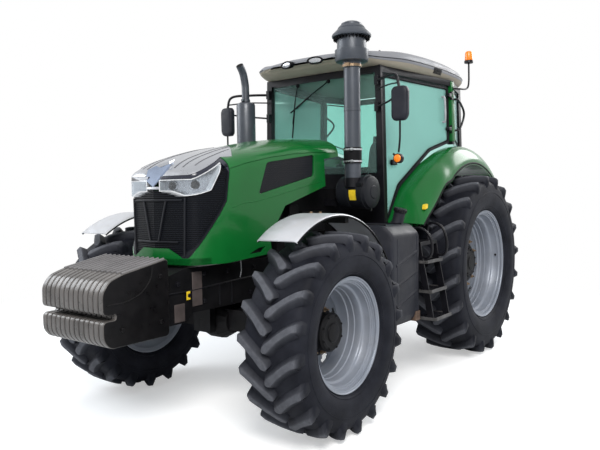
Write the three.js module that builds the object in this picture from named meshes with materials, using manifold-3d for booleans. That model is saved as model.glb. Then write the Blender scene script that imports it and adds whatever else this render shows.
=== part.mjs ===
// A four-wheel-drive farm tractor with a cab, front weights and a rear three-point hitch, in millimetres.
// X points to the tractor's left, Y to its rear and Z up. The drawing origin is on the ground under the
// front axle. The exported group moves it to the middle of the whole length.
import * as THREE from "three";
import { mergeVertices } from "three/addons/utils/BufferGeometryUtils.js";
import Module from "manifold-3d";

const wasm = await Module();
wasm.setup();

// ---------------------------------------------------------------- driving dimensions
const wheelbase = 2800;
const frontEnd = -1350; // front face of the weights
const rearEnd = wheelbase + 1060; // tips of the lower links
const gap = 0.3; // between pieces that touch
const running = 0.5; // between pieces that turn on each other
const panelGap = 5; // between body panels and round doors

const frontTyre = { radius: 717, width: 480, centre: 1038, seatRadius: 381, rimWidth: 381, flange: 25 };
const rearTyre = { radius: 940, width: 577, centre: 921, seatRadius: 533, rimWidth: 457, flange: 26 };
const wheelSides = 28;
const frontDisc = { x: 918, sink: 24, hubRadius: 98, hubEnd: 1100 };
const rearDisc = { x: 872, sink: 49, hubRadius: 150, hubEnd: 985 };
const rimWall = 12;
const kingpin = { x: 800, radius: 62 };
const axleBeam = { halfDepth: 70, below: 82, above: 83 };
const forkPlate = 34;

const cab = {
  front: wheelbase - 1330, pillarB: wheelbase - 140, rear: wheelbase + 410, floor: 1290, top: 2860,
  sideX: 675, spread: 0.14, lean: -0.024, backX: 700, waist: 1880,
};
const cabPost = 60;
const floorPlate = 40;
const innerWall = rearTyre.centre - rearTyre.width / 2 - 32.5; // half width of the cab between the tyres

const hood = { rear: cab.front - 410, nose: -675, halfWidth: 450, low: 1150, wall: 20, hingeZ: 2105 };
const hingeY = hood.rear - 30;
const hoodPin = 12;
const weights = { halfWidth: 330, plate: 46, count: 13, back: -830 };
const bolsterHalf = 270;
const engine = { halfWidth: 270, front: 405, rear: hood.rear + 240, low: 700, high: 1740 };

const doorFrame = 45;
const doorDepth = 32;
const glass = 8;
const doorPin = 9;

const fender = {
  arch: rearTyre.radius + 100, wall: 30, outer: 1030, crest: rearTyre.radius + 303, rearAngle: 52,
};
const roof = { halfWidth: 820, low: cab.top + gap };
const stepsRear = Math.min(cab.front + 295, wheelbase - rearTyre.radius - 95);
const stepsY = [stepsRear - 340, stepsRear];
const tank = {
  inner: 520, outer: 1080, front: frontTyre.radius + 168, rear: stepsY[0] - 35, low: 560, high: 1420,
};
const snorkel = { x: hood.halfWidth + 166, y: hood.rear - 20, radius: 71, low: 1870, cap: 171, top: 3180 };
const muffler = { radius: 92, low: 1750, high: 2580 };
const hitch = { y: wheelbase + 310, low: 620, high: 1130, arm: 370, x: 250, plate: 30 };

// The axle height is the height of the flat under a tyre of wheelSides sides.
const flatCos = Math.cos(Math.PI / wheelSides);
const frontAxleZ = frontTyre.radius * flatCos;
const rearAxleZ = rearTyre.radius * flatCos;

// ---------------------------------------------------------------- making shapes
function solid(geometry) {
  const plain = geometry.clone();
  plain.deleteAttribute("normal");
  plain.deleteAttribute("uv");
  const merged = mergeVertices(plain, 1e-3);
  const triVerts = new Uint32Array(merged.index.array);
  const make = () =>
    new wasm.Manifold(new wasm.Mesh({
      numProp: 3, vertProperties: merged.attributes.position.array, triVerts,
    }));
  const made = make();
  if (made.volume() > 0) return made;
  for (let i = 0; i < triVerts.length; i += 3) {
    [triVerts[i + 1], triVerts[i + 2]] = [triVerts[i + 2], triVerts[i + 1]];
  }
  return make();
}

function geometryOf(body) {
  const { vertProperties, triVerts, numProp, numVert } = body.getMesh();
  const position = new Float32Array(numVert * 3);
  for (let i = 0; i < numVert; i++) {
    position.set(vertProperties.subarray(i * numProp, i * numProp + 3), i * 3);
  }
  const geometry = new THREE.BufferGeometry();
  geometry.setAttribute("position", new THREE.BufferAttribute(position, 3));
  geometry.setIndex(new THREE.BufferAttribute(triVerts, 1));
  return geometry;
}

const join = (...bodies) => bodies.reduce((all, body) => all.add(body));
const cut = (body, ...tools) => tools.reduce((rest, tool) => rest.subtract(tool), body);
const moved = (body, x, y, z) => solid(geometryOf(body).translate(x, y, z));
const mirrored = (body) => solid(geometryOf(body).scale(-1, 1, 1));
const bothSides = (body) => join(body, mirrored(body));

// The body and its copies moved a little each way: what a neighbour is cut with to leave a gap. It suits
// bodies without sharp tips.
function grown(body, by) {
  const ways = [[by, 0, 0], [-by, 0, 0], [0, by, 0], [0, -by, 0], [0, 0, by], [0, 0, -by]];
  return join(body, ...ways.map(([x, y, z]) => moved(body, x, y, z)));
}

function box(x, y, z) {
  const size = [x, y, z].map(([low, high]) => high - low);
  const middle = [x, y, z].map(([low, high]) => (high + low) / 2);
  return solid(new THREE.BoxGeometry(...size).translate(...middle));
}

const shapeOf = (points) => new THREE.Shape(points.map(([a, b]) => new THREE.Vector2(a, b)));

// A side view, as (y, z) points, made as wide as x runs from low to high.
function sideShape(points, [low, high]) {
  const geometry = new THREE.ExtrudeGeometry(shapeOf(points), { depth: high - low, bevelEnabled: false });
  const turn = new THREE.Matrix4().makeBasis(
    new THREE.Vector3(0, 1, 0), new THREE.Vector3(0, 0, 1), new THREE.Vector3(1, 0, 0),
  );
  return solid(geometry.applyMatrix4(turn).translate(low, 0, 0));
}

// A plan, as (x, y) points, made as high as z runs from low to high.
function planShape(points, [low, high]) {
  const geometry = new THREE.ExtrudeGeometry(shapeOf(points), { depth: high - low, bevelEnabled: false });
  return solid(geometry.translate(0, 0, low));
}

// A front view, as (x, z) points, made as deep as y runs from low to high.
function frontShape(points, [low, high]) {
  const geometry = new THREE.ExtrudeGeometry(shapeOf(points), { depth: high - low, bevelEnabled: false });
  return solid(geometry.rotateX(Math.PI / 2).translate(0, high, 0));
}

// A turned piece: (along, radius) points about the X, Y or Z axis. A half step puts a flat at the bottom.
function turned(points, axis, sides = wheelSides, flatDown = false) {
  const profile = points.map(([along, radius]) => new THREE.Vector2(radius, along));
  const geometry = new THREE.LatheGeometry(profile, sides);
  if (flatDown) geometry.rotateY(Math.PI / sides);
  if (axis === "x") geometry.rotateZ(-Math.PI / 2);
  if (axis === "z") geometry.rotateX(Math.PI / 2);
  return solid(geometry);
}

function rod(axis, radius, [low, high], [a, b], sides = 16) {
  const body = turned([[low, 0], [low, radius], [high, radius], [high, 0]], axis, sides);
  const at = { x: [0, a, b], y: [a, 0, b], z: [a, b, 0] }[axis];
  return moved(body, ...at);
}

// A tool that cuts a hole whose flats, not its corners, lie at the radius, so that a pin can turn in it.
const bore = (axis, radius, [low, high], at, sides = 16) =>
  rod(axis, radius / Math.cos(Math.PI / sides), [low - 1, high + 1], at, sides);

const ring = (axis, outer, inner, span, at, sides = 16) =>
  cut(rod(axis, outer, span, at, sides), bore(axis, inner, span, at, sides));

// A tube along a smooth curve through the points.
function tube(points, radius, steps = 8, sides = 6) {
  const curve = new THREE.CatmullRomCurve3(
    points.map((p) => new THREE.Vector3(...p)), false, "catmullrom", 0.2,
  );
  const outline = Array.from({ length: sides }, (_, i) => [
    radius * Math.cos((2 * Math.PI * i) / sides), radius * Math.sin((2 * Math.PI * i) / sides),
  ]);
  return solid(new THREE.ExtrudeGeometry(shapeOf(outline), {
    steps, extrudePath: curve, bevelEnabled: false,
  }));
}

// A square post between two points, as a box leaned over.
function post(from, to, width, depth) {
  const corners = [[-1, -1], [1, -1], [1, 1], [-1, 1]];
  const rings = [from, to].map(([x, y, z]) =>
    corners.map(([a, b]) => [x + (a * width) / 2, y + (b * depth) / 2, z]));
  return loft(rings);
}

// A closed body through rings of as many points each, with flat ends.
function loft(rings) {
  const count = rings[0].length;
  const index = [];
  for (let r = 0; r + 1 < rings.length; r++) {
    for (let i = 0; i < count; i++) {
      const a = r * count + i;
      const b = r * count + ((i + 1) % count);
      index.push(a, b, b + count, a, b + count, a + count);
    }
  }
  const flat = (ring) => {
    const size = new THREE.Box3().setFromPoints(ring.map((p) => new THREE.Vector3(...p)))
      .getSize(new THREE.Vector3()).toArray();
    const skip = size.indexOf(Math.min(...size));
    return ring.map((p) => new THREE.Vector2(...p.filter((_, k) => k !== skip)));
  };
  for (const [r, back] of [[0, true], [rings.length - 1, false]]) {
    const outline = flat(rings[r]);
    const turns = THREE.ShapeUtils.area(outline) > 0;
    const contour = turns ? outline : outline.slice().reverse();
    for (const face of THREE.ShapeUtils.triangulateShape(contour, [])) {
      const [a, b, c] = face.map((i) => r * count + (turns ? i : count - 1 - i));
      index.push(...(back === turns ? [a, c, b] : [a, b, c]));
    }
  }
  const geometry = new THREE.BufferGeometry();
  geometry.setAttribute("position", new THREE.Float32BufferAttribute(rings.flat(2), 3));
  geometry.setIndex(index);
  return solid(geometry);
}

// ---------------------------------------------------------------- materials and nodes
const paint = (color, roughness = 0.35, metalness = 0) =>
  () => new THREE.MeshStandardMaterial({ color, roughness, metalness });
const green = paint(0x157a35);
const silver = paint(0xc4c8cc, 0.3, 0.7);
const cast = paint(0x1b1c1e, 0.55, 0.2);
const plastic = paint(0x2b2d31, 0.7);
const rubber = paint(0x26272a, 0.9);
const rimPaint = paint(0xc3c9d1, 0.4, 0.5);
const roofPaint = paint(0xc9c7bf, 0.5);
const pane = paint(0x79c9b4, 0.1);
const lampGlass = paint(0xdfe5ea, 0.1);
const amber = paint(0xf08a1c, 0.3);

const tractor = new THREE.Group();
tractor.position.y = -(frontEnd + rearEnd) / 2;

function node(name, body, material, parent = tractor) {
  const mesh = new THREE.Mesh(geometryOf(body), material());
  mesh.name = name;
  parent.add(mesh);
}

// The left-hand piece and its mirror image on the right.
function pair(name, body, material) {
  node(name + "_left", body, material);
  const right = new THREE.Mesh(geometryOf(body), material());
  right.name = name + "_right";
  right.scale.x = -1;
  tractor.add(right);
}

// ---------------------------------------------------------------- wheels
function tyre({ radius, width, centre, seatRadius, rimWidth, flange }) {
  const half = width / 2;
  const bead = rimWidth / 2 - rimWall - gap;
  const wall = 32;
  const lip = seatRadius + flange + 6;
  const bulge = seatRadius + 0.45 * (radius - seatRadius);
  const outside = [[bead, seatRadius + gap], [bead, lip], [half, bulge], [0.9 * half, radius - 20]];
  const inside = [[0.8 * half, radius - 78], [bead - wall, seatRadius + gap]];
  const left = ([x, r]) => [-x, r];
  const profile = [
    ...outside, [0, radius], ...outside.map(left).reverse(),
    ...inside.map(left).reverse(), ...inside,
  ];
  return moved(turned([...profile, profile[0]], "x", wheelSides, true), centre, 0, 0);
}

function rim({ centre, seatRadius, rimWidth, flange }, { x, sink, hubRadius, hubEnd }, hubStart) {
  const half = rimWidth / 2;
  const well = seatRadius - 45;
  const outside = [
    [half, seatRadius + flange], [half - rimWall, seatRadius + flange], [half - rimWall, seatRadius],
    [half - 110, well],
  ];
  const inside = [[half - 110 - rimWall, well - rimWall], [half, seatRadius]];
  const left = ([a, r]) => [-a, r];
  const profile = [...outside, ...outside.map(left).reverse(), ...inside.map(left).reverse(), ...inside];
  const barrel = moved(turned([...profile, profile[0]], "x", wheelSides, true), centre, 0, 0);
  const disc = turned([
    [x, 0], [x, seatRadius - sink], [x + rimWall, seatRadius - sink], [x + rimWall, hubRadius + 60],
    [x + 50, hubRadius + 10], [hubEnd, hubRadius - 15], [hubEnd, 0],
  ], "x", wheelSides, true);
  const flangePlate = turned([[hubStart, 0], [hubStart, hubRadius], [x + 1, hubRadius], [x + 1, 0]], "x", 12);
  return join(barrel, disc, flangePlate);
}

const hubSeat = { front: 905, rear: 858 };
pair("front_tyre", moved(tyre(frontTyre), 0, 0, frontAxleZ), rubber);
pair("front_rim", moved(rim(frontTyre, frontDisc, hubSeat.front), 0, 0, frontAxleZ), rimPaint);
pair("rear_tyre", moved(tyre(rearTyre), 0, wheelbase, rearAxleZ), rubber);
pair("rear_rim", moved(rim(rearTyre, rearDisc, hubSeat.rear), 0, wheelbase, rearAxleZ), rimPaint);

// ---------------------------------------------------------------- front axle, knuckles and front fenders
const forkTop = frontAxleZ + 118;
const forkFoot = frontAxleZ - 118;
const forkReach = [kingpin.x - 175, kingpin.x + 45];

const trunnion = { y: [156, 215], z: frontAxleZ - 15, radius: 35 };

function frontAxle() {
  const { halfDepth, below, above } = axleBeam;
  const beam = box([-forkReach[0] - 20, forkReach[0] + 20], [-halfDepth, halfDepth],
    [frontAxleZ - below, frontAxleZ + above]);
  const centre = turned([[-150, 0], [-150, 100], [-60, 150], [60, 150], [150, 100], [150, 0]], "x", 16);
  const plates = [[forkTop, forkTop + forkPlate], [forkFoot - forkPlate, forkFoot]].map((z) =>
    bothSides(box(forkReach, [-halfDepth, halfDepth], z)));
  const web = bothSides(box([forkReach[0], forkReach[0] + 40], [-halfDepth, halfDepth],
    [forkFoot - forkPlate, forkTop + forkPlate]));
  const pin = rod("y", trunnion.radius, [-trunnion.y[1], trunnion.y[1]], [0, trunnion.z], 16);
  return join(beam, moved(centre, 0, 0, trunnion.z), pin, ...plates, web);
}
node("front_axle", frontAxle(), cast);

const fenderSteps = 12;
const frontFender = {
  radius: frontTyre.radius + 123, thick: 14, inner: frontTyre.centre - 222, outer: frontTyre.centre + 110,
  front: -36, rear: 62,
};

function arcPoints(radius, from, to, [cy, cz], steps) {
  return Array.from({ length: steps + 1 }, (_, i) => {
    const a = THREE.MathUtils.degToRad(from + ((to - from) * i) / steps);
    return [cy + radius * Math.sin(a), cz + radius * Math.cos(a)];
  });
}

function frontFenderPlate() {
  const { radius, thick, inner, outer, front, rear } = frontFender;
  const centre = [0, frontAxleZ];
  const outline = [
    ...arcPoints(radius, front, rear, centre, fenderSteps),
    ...arcPoints(radius - thick, rear, front, centre, fenderSteps),
  ];
  return sideShape(outline, [inner, outer]);
}

function knuckle() {
  const { radius, thick, front, rear } = frontFender;
  const housing = rod("z", kingpin.radius, [forkFoot + running, forkTop - running], [kingpin.x, 0], 16);
  const spindle = rod("x", 95, [kingpin.x, hubSeat.front - running], [0, frontAxleZ], 16);
  const armY = [axleBeam.halfDepth + 70, axleBeam.halfDepth + 115];
  const armX = [kingpin.x - 45, kingpin.x - 15];
  const arm = box([armX[0], kingpin.x + 20], [20, armY[1]], [frontAxleZ - 50, frontAxleZ + 60]);
  const upright = box(armX, armY, [frontAxleZ, frontAxleZ + frontFender.radius]);
  const support = box([armX[0], frontFender.outer - 40], armY, [
    frontAxleZ + frontFender.radius - 75, frontAxleZ + frontFender.radius,
  ]);
  const above = sideShape([
    ...arcPoints(radius - thick - gap, front, rear, [0, frontAxleZ], fenderSteps),
    [2 * radius, frontAxleZ + 2 * radius], [-2 * radius, frontAxleZ + 2 * radius],
  ], [600, 1300]);
  return join(housing, spindle, arm, cut(join(upright, support), above));
}
pair("knuckle", knuckle(), cast);
pair("front_fender", frontFenderPlate(), silver);

// ---------------------------------------------------------------- bolster, weights, engine, transmission
function bolster() {
  const under = frontAxleZ + 147;
  const body = sideShape([
    [weights.back + gap, 800], [weights.back + gap, 1130], [-640, 1180], [engine.front - 20, 1180],
    [engine.front - gap, 1150], [engine.front - gap, under], [-560, under], [-620, 800],
  ], [-bolsterHalf, bolsterHalf]);
  const { y, z, radius } = trunnion;
  const hangers = [[-y[1], -y[0]], y].map((span) => box([-90, 90], span, [z - 70, under + 40]));
  const pinWay = rod("y", radius + gap, [-y[1] - 1, y[1] + 1], [0, z]);
  return cut(join(body, ...hangers), pinWay);
}
node("front_bolster", bolster(), cast);

function frontWeights() {
  const plateOutline = [
    [frontEnd, 865], [frontEnd, 1110], [frontEnd + 45, 1165], [frontEnd + 150, 1205], [weights.back, 1275],
    [weights.back, 830], [weights.back - 60, 770], [-1180, 755], [frontEnd + 50, 800],
  ];
  const pitch = (2 * weights.halfWidth - weights.plate) / (weights.count - 1);
  const plates = Array.from({ length: weights.count }, (_, i) => {
    const x = -weights.halfWidth + i * pitch;
    return sideShape(plateOutline, [x, x + weights.plate]);
  });
  const core = sideShape([
    [frontEnd + 30, 880], [frontEnd + 30, 1100], [weights.back - 20, 1250], [weights.back - 20, 800],
    [frontEnd + 90, 810],
  ], [-weights.halfWidth + 10, weights.halfWidth - 10]);
  const handSlot = box([-400, 400], [frontEnd - 10, frontEnd + 100], [932, 968]);
  return cut(join(core, ...plates), handSlot);
}
node("front_weights", frontWeights(), cast);

const engineBlock = box(
  [-engine.halfWidth, engine.halfWidth], [engine.front, engine.rear], [engine.low, engine.high]);
node("engine_block", engineBlock, cast);

function hoodFrame() {
  const { hingeZ } = hood;
  const posts = bothSides(box([230, 260], [hingeY - 20, hingeY + 30], [engine.high + gap, hingeZ + 10]));
  const foot = box([-260, 260], [hingeY - 20, hingeY + 30], [engine.high + gap, engine.high + 40]);
  const pin = rod("x", hoodPin, [-330, 330], [hingeY, hingeZ]);
  return join(posts, foot, pin);
}
node("hood_frame", hoodFrame(), cast);

const transmissionEnd = wheelbase - 240;
function transmission() {
  const bellEnd = engine.rear + 260;
  const bell = box([-250, 250], [engine.rear + gap, bellEnd], [640, 1200]);
  const gearbox = box([-200, 200], [bellEnd - 10, transmissionEnd], [620, 1180]);
  const carriers = bothSides(box([190, tank.inner - gap], [engine.rear + 12, tank.rear - 20], [700, 790]));
  const cabMounts = bothSides(
    box([150, 240], [cab.front + 10, cab.front + 80], [1150, cab.floor - floorPlate - gap]));
  return join(bell, gearbox, carriers, cabMounts);
}
node("transmission", transmission(), cast);

function rearAxle() {
  const centre = box([-260, 260], [transmissionEnd + gap, wheelbase + 240], [600, 1200]);
  const trumpets = bothSides(moved(turned([
    [200, 0], [200, 190], [420, 140], [780, 125], [780, 150], [hubSeat.rear - running, 150],
    [hubSeat.rear - running, 0],
  ], "x", 16), 0, wheelbase, rearAxleZ));
  const cabMounts = bothSides(
    box([300, 400], [wheelbase - 50, wheelbase + 50], [rearAxleZ, cab.floor - floorPlate - gap]));
  const plateY = [hitch.y - 110, hitch.y + 45];
  const linkPlates = bothSides(box([hitch.x - hitch.plate - 20, hitch.x - running], plateY,
    [hitch.low - 45, hitch.low + 120]));
  const armPlates = bothSides(box([hitch.x - hitch.plate - 40, hitch.x - running], plateY,
    [hitch.high - 90, hitch.high + 45]));
  const topPlate = box([-60, 60], [hitch.y - 80, hitch.y - 30], [900, 1120]);
  const shaftWay = bore("x", 30 + running, [-hitch.x, hitch.x], [hitch.y, hitch.high]);
  return cut(join(centre, trumpets, cabMounts, linkPlates, armPlates, topPlate), shaftWay);
}
node("rear_axle", rearAxle(), cast);

// ---------------------------------------------------------------- hood
// Behind the front axle the hood's drawing is stretched to the hood's length.
const drawnRear = 1060;
const alongHood = (y) => (y > 0 ? (y * hood.rear) / drawnRear : y);
const hoodView = (points) => points.map(([y, z]) => [alongHood(y), z]);

// The hood at each place along Y: how much narrower than its widest, and its crown height.
const hoodStations = [
  [-700, 55, 1800], [-620, 50, 1870], [-500, 42, 1940], [-350, 32, 1993], [-100, 20, 2055],
  [130, 12, 2090], [500, 4, 2155], [800, 0, 2180], [drawnRear, 0, 2195],
];

function hoodBody(inset) {
  const shoulder = 170;
  const power = 2 / 2.7;
  const steps = 5;
  const rings = hoodStations.map(([y, narrower, crown]) => {
    const halfWidth = hood.halfWidth - narrower - inset;
    const half = [[halfWidth, hood.low]];
    for (let i = 0; i <= steps; i++) {
      const a = (Math.PI / 2) * (i / steps);
      half.push([
        halfWidth * Math.cos(a) ** power,
        crown - inset - shoulder + shoulder * Math.sin(a) ** power,
      ]);
    }
    half[half.length - 1][0] = 0;
    const other = half.slice(0, -1).reverse().map(([x, z]) => [-x, z]);
    return [...half, ...other].map(([x, z]) => [x, alongHood(y), z]);
  });
  const wide = hood.halfWidth;
  const nose = [
    [wide, hood.rear + 10], [wide, -330], [wide - 45, -400], [wide - 105, -590], [0.4 * wide, -648],
    [0, hood.nose],
  ].map(([x, y]) => [x ? x - inset : 0, y < 0 ? y + inset : y]);
  const plan = [...nose, ...nose.slice(0, -1).reverse().map(([x, y]) => [-x, y])];
  return loft(rings).intersect(planShape(plan, [hood.low - 10, 2400]));
}

const hoodSpan = [-hood.halfWidth - 10, hood.halfWidth + 10];
const hoodOuter = hoodBody(0);
const hoodInner = hoodBody(hood.wall);
const hoodSides = sideShape(hoodView([
  [-800, 1204], [-350, 1202], [130, 1235], [112, 1340], [175, 1445], [300, 1600], [855, 1757], [840, 1990],
  [drawnRear, 2020], [drawnRear, 2400], [-800, 2400],
]), hoodSpan);
// Outlines of the regions that the silver panel, the lamps, the grille and the side meshes fill. A region is
// drawn a gap wider where it is cut from its neighbours.
const aboveLamps = [[-800, 1828], [-610, 1832], [-310, 1968], [-300, 2400], [-800, 2400]];
const lampOutline = [
  [-800, 1728], [-650, 1721], [-622, 1686], [-545, 1702], [-470, 1725], [-360, 1925], [-600, 1805],
  [-800, 1802],
];
const grilleOutline = [
  [-800, 1247], [-615, 1247], [-588, 1305], [-511, 1406], [-406, 1547], [-340, 1650], [-312, 1850],
  [-305, 1966], [-800, 2020],
];
const windowOutline = hoodView([[-12, 1692], [78, 1925], [105, 1945], [670, 2018], [692, 1998], [685, 1843]]);
const panelTip = alongHood(130);
const panelSide = hood.halfWidth + 30;
const panelPlan = [
  [-panelSide, -340], [0, panelTip], [panelSide, -340], [panelSide, -800], [-panelSide, -800],
];
const behindLamps = [[-320, 1962], [panelTip + 20, 2010], [panelTip + 20, 2400], [-320, 2400]];
const region = (outline, by) => sideShape(grownOutline(outline, by), hoodSpan);
const panelRegion = (by) => join(region(aboveLamps, by), region(behindLamps, by))
  .intersect(planShape(grownOutline(panelPlan, by), [1650, 2450]));
const besideHood = [300, hood.halfWidth + 10];
const hoodWindow = (by) => bothSides(sideShape(grownOutline(windowOutline, by), besideHood));

function hoodShell() {
  const shell = cut(hoodOuter, hoodInner).intersect(hoodSides);
  const rings = bothSides(join(
    ring("x", 34, hoodPin + running, [268, 300], [hingeY, hood.hingeZ]),
    box([268, 300], [hingeY - 20, hingeY + 20], [hood.hingeZ + 25, hood.hingeZ + 62]),
  ));
  return join(cut(shell, region(grilleOutline, gap), panelRegion(gap), hoodWindow(gap)), rings);
}

const hoodSkin = cut(hoodOuter, hoodInner);
const leftSide = box([0, hoodSpan[1]], [hood.nose - 50, hood.rear], [hood.low, 2400]);
node("hood", hoodShell(), green);
node("hood_front_panel", hoodSkin.intersect(panelRegion(0)), silver);
const lamps = cut(hoodOuter, hoodBody(90)).intersect(region(lampOutline, 0));
pair("headlight", cut(lamps.intersect(leftSide), box([-70, 70], [-800, 0], [1500, 2100])), lampGlass);
node("grille", cut(hoodOuter.intersect(region(grilleOutline, 0)), hoodBody(35), region(lampOutline, gap),
  region(aboveLamps, gap), panelRegion(gap)), plastic);
pair("hood_mesh", hoodSkin.intersect(hoodWindow(0)).intersect(leftSide), plastic);

// ---------------------------------------------------------------- air cleaner, snorkel, exhaust
function airCleaner() {
  const centre = [snorkel.y + 100, 1700];
  const start = hood.halfWidth;
  const drum = moved(turned([
    [start, 0], [start, 130], [start + 15, 147], [start + 300, 147], [start + 322, 125], [start + 322, 0],
  ], "x", 20), 0, ...centre);
  const elbow = rod("z", snorkel.radius, [1750, snorkel.low - gap], [snorkel.x, snorkel.y], 16);
  const bracket = box([engine.halfWidth + gap, start + 20], [centre[0] - 50, centre[0] + 50], [1580, 1640]);
  return join(drum, elbow, bracket);
}
node("air_cleaner", airCleaner(), cast);

const snorkelBody = moved(turned([
  [snorkel.low, 0], [snorkel.low, snorkel.radius], [snorkel.top - 340, snorkel.radius],
  [snorkel.top - 338, 145], [snorkel.top - 295, 145], [snorkel.top - 290, 120], [snorkel.top - 170, 125],
  [snorkel.top - 160, 105], [snorkel.top - 140, 105], [snorkel.top - 138, snorkel.cap],
  [snorkel.top - 118, snorkel.cap], [snorkel.top - 80, 150], [snorkel.top - 60, 105], [snorkel.top - 15, 95],
  [snorkel.top, 50], [snorkel.top, 0],
], "z", 20), snorkel.x, snorkel.y, 0);
node("snorkel", snorkelBody, plastic);

function exhaust() {
  const { x, y } = snorkel;
  const { radius, low, high } = muffler;
  const can = moved(turned([
    [low - 60, 0], [low - 60, 45], [low, radius], [high, radius], [high + 25, 45], [high + 25, 0],
  ], "z", 20), -x, y, 0);
  const stack = tube([
    [-x, y, high + 10], [-x, y, high + 120], [-x, y - 5, high + 200], [6 - x, y - 40, high + 300],
    [14 - x, y - 95, high + 365],
  ], 37, 8);
  const feed = tube([
    [-x, y, low - 40], [-x, y, low - 130], [56 - x, y, low - 220], [-engine.halfWidth - gap, y, low - 250],
  ], 42, 8);
  return join(can, stack, cut(feed, box([-engine.halfWidth - gap, 0], [y - 100, y + 100], [low - 400, low])));
}
node("exhaust", exhaust(), cast);

// ---------------------------------------------------------------- cab
// The cab's sides lean in towards the top and spread towards the rear.
const sideAt = (y, z) => cab.sideX + cab.spread * (y - cab.front) + cab.lean * (z - 1400);
const backAt = (y, z) => {
  const t = (y - cab.pillarB) / (cab.rear - cab.pillarB);
  return sideAt(cab.pillarB, z) * (1 - t) + (cab.backX + cab.lean * (z - 1400)) * t;
};

// A panel drawn in side view and laid on the cab's side, from offset low to high.
function onSide(points, [low, high], at = sideAt) {
  const flat = geometryOf(sideShape(points, [low, high]));
  const position = flat.getAttribute("position");
  for (let i = 0; i < position.count; i++) {
    position.setX(i, position.getX(i) + at(position.getY(i), position.getZ(i)));
  }
  return solid(flat);
}

// The wheel arch beside the cab: its outer edge and its crest, from the front tip to the rear end.
const axleYZ = [wheelbase, rearAxleZ];
const archFrontAngle = 34;
// In front of its round part the arch runs down to a foot beside the cab's front. The shares are of that way.
const towards = ([y0, z0], [y1, z1], shares) =>
  shares.map(([inY, inZ]) => [y0 + inY * (y1 - y0), z0 + inZ * (z1 - z0)]);
const outerArc = arcPoints(fender.arch + fender.wall, -archFrontAngle, fender.rearAngle, axleYZ, 9);
const crestArc = arcPoints(fender.crest, -27, fender.rearAngle, axleYZ, 9);
const outerEdge = [
  ...towards([cab.front + 100, cab.floor + 110], outerArc[0], [[0, 0], [0.33, 0.3], [0.66, 0.65]]),
  ...outerArc,
];
const crestEdge = [
  ...towards([cab.front + 53, cab.floor + 124], crestArc[0], [[0, 0], [0.15, 0.25], [0.31, 0.5]]),
  ...crestArc,
];
const crestTop = rearAxleZ + fender.crest;

function rearFender() {
  const rings = outerEdge.map(([y, z], i) => {
    const [cy, cz] = crestEdge[i];
    const toAxle = Math.hypot(wheelbase - y, rearAxleZ - z);
    const inY = ((wheelbase - y) / toAxle) * fender.wall;
    const inZ = ((rearAxleZ - z) / toAxle) * fender.wall;
    const crestX = Math.min(sideAt(cy, cz), sideAt(cab.pillarB, cz)) + 15;
    return [
      [innerWall + gap, y + inY, z + inZ], [fender.outer, y + inY, z + inZ], [fender.outer, y, z],
      [crestX + 45, (y + 2 * cy) / 3 , (z + 5 * cz) / 6], [crestX + 12, cy, cz], [crestX - 25, cy, cz],
      [crestX - 35, y, z], [innerWall + gap, y, z],
    ];
  });
  return loft(rings);
}
pair("rear_fender", rearFender(), green);

const doorTop = cab.top - cabPost - panelGap;
const doorOutline = [
  [cab.front + 36, cab.floor + 120], [crestEdge[2][0] - 19, crestEdge[2][1] + 23],
  [crestArc[0][0] + 14, crestArc[0][1] + 60], [cab.pillarB - 36, crestTop + 35],
  [cab.pillarB - 36, doorTop], [cab.front + 36, doorTop],
];

// An outline pulled in by the same distance all round, for outlines without re-entrant corners that matter.
function insetOutline(points, by) {
  const sign = THREE.ShapeUtils.area(points.map(([a, b]) => new THREE.Vector2(a, b))) > 0 ? 1 : -1;
  return points.map((p, i) => {
    const before = points[(i + points.length - 1) % points.length];
    const after = points[(i + 1) % points.length];
    const normal = ([a, b], [c, d]) => {
      const length = Math.hypot(c - a, d - b);
      return [(-sign * (d - b)) / length, (sign * (c - a)) / length];
    };
    const [n1, n2] = [normal(before, p), normal(p, after)];
    const scale = by / (1 + n1[0] * n2[0] + n1[1] * n2[1]);
    return [p[0] + scale * (n1[0] + n2[0]), p[1] + scale * (n1[1] + n2[1])];
  });
}

const hinge = {
  x: sideAt(cab.pillarB, cab.top - 360) + 26, y: cab.pillarB - 20, z: [cab.top - 530, cab.top - 180],
};

function door() {
  const frame = cut(
    onSide(doorOutline, [-doorDepth / 2, doorDepth / 2]),
    onSide(insetOutline(doorOutline, doorFrame), [-doorDepth, doorDepth]),
  );
  const lugs = hinge.z.map((z) => join(
    ring("z", 20, doorPin + running, [z, z + 40], [hinge.x, hinge.y]),
    box([hinge.x - 26, hinge.x - doorPin - 3], [hinge.y - 50, hinge.y - 5], [z, z + 40]),
  ));
  return join(frame, ...lugs);
}
pair("door", door(), plastic);
pair("door_glass", onSide(insetOutline(doorOutline, doorFrame + gap), [-glass / 2, glass / 2]), pane);

const quarterOutline = [
  [cab.pillarB + 45, crestTop + 58], [cab.rear - 45, crestTop - 47], [cab.rear - 45, doorTop],
  [cab.pillarB + 45, doorTop],
];
pair("quarter_window",
  onSide(insetOutline(quarterOutline, gap), [-glass / 2, glass / 2], backAt), pane);

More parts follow.
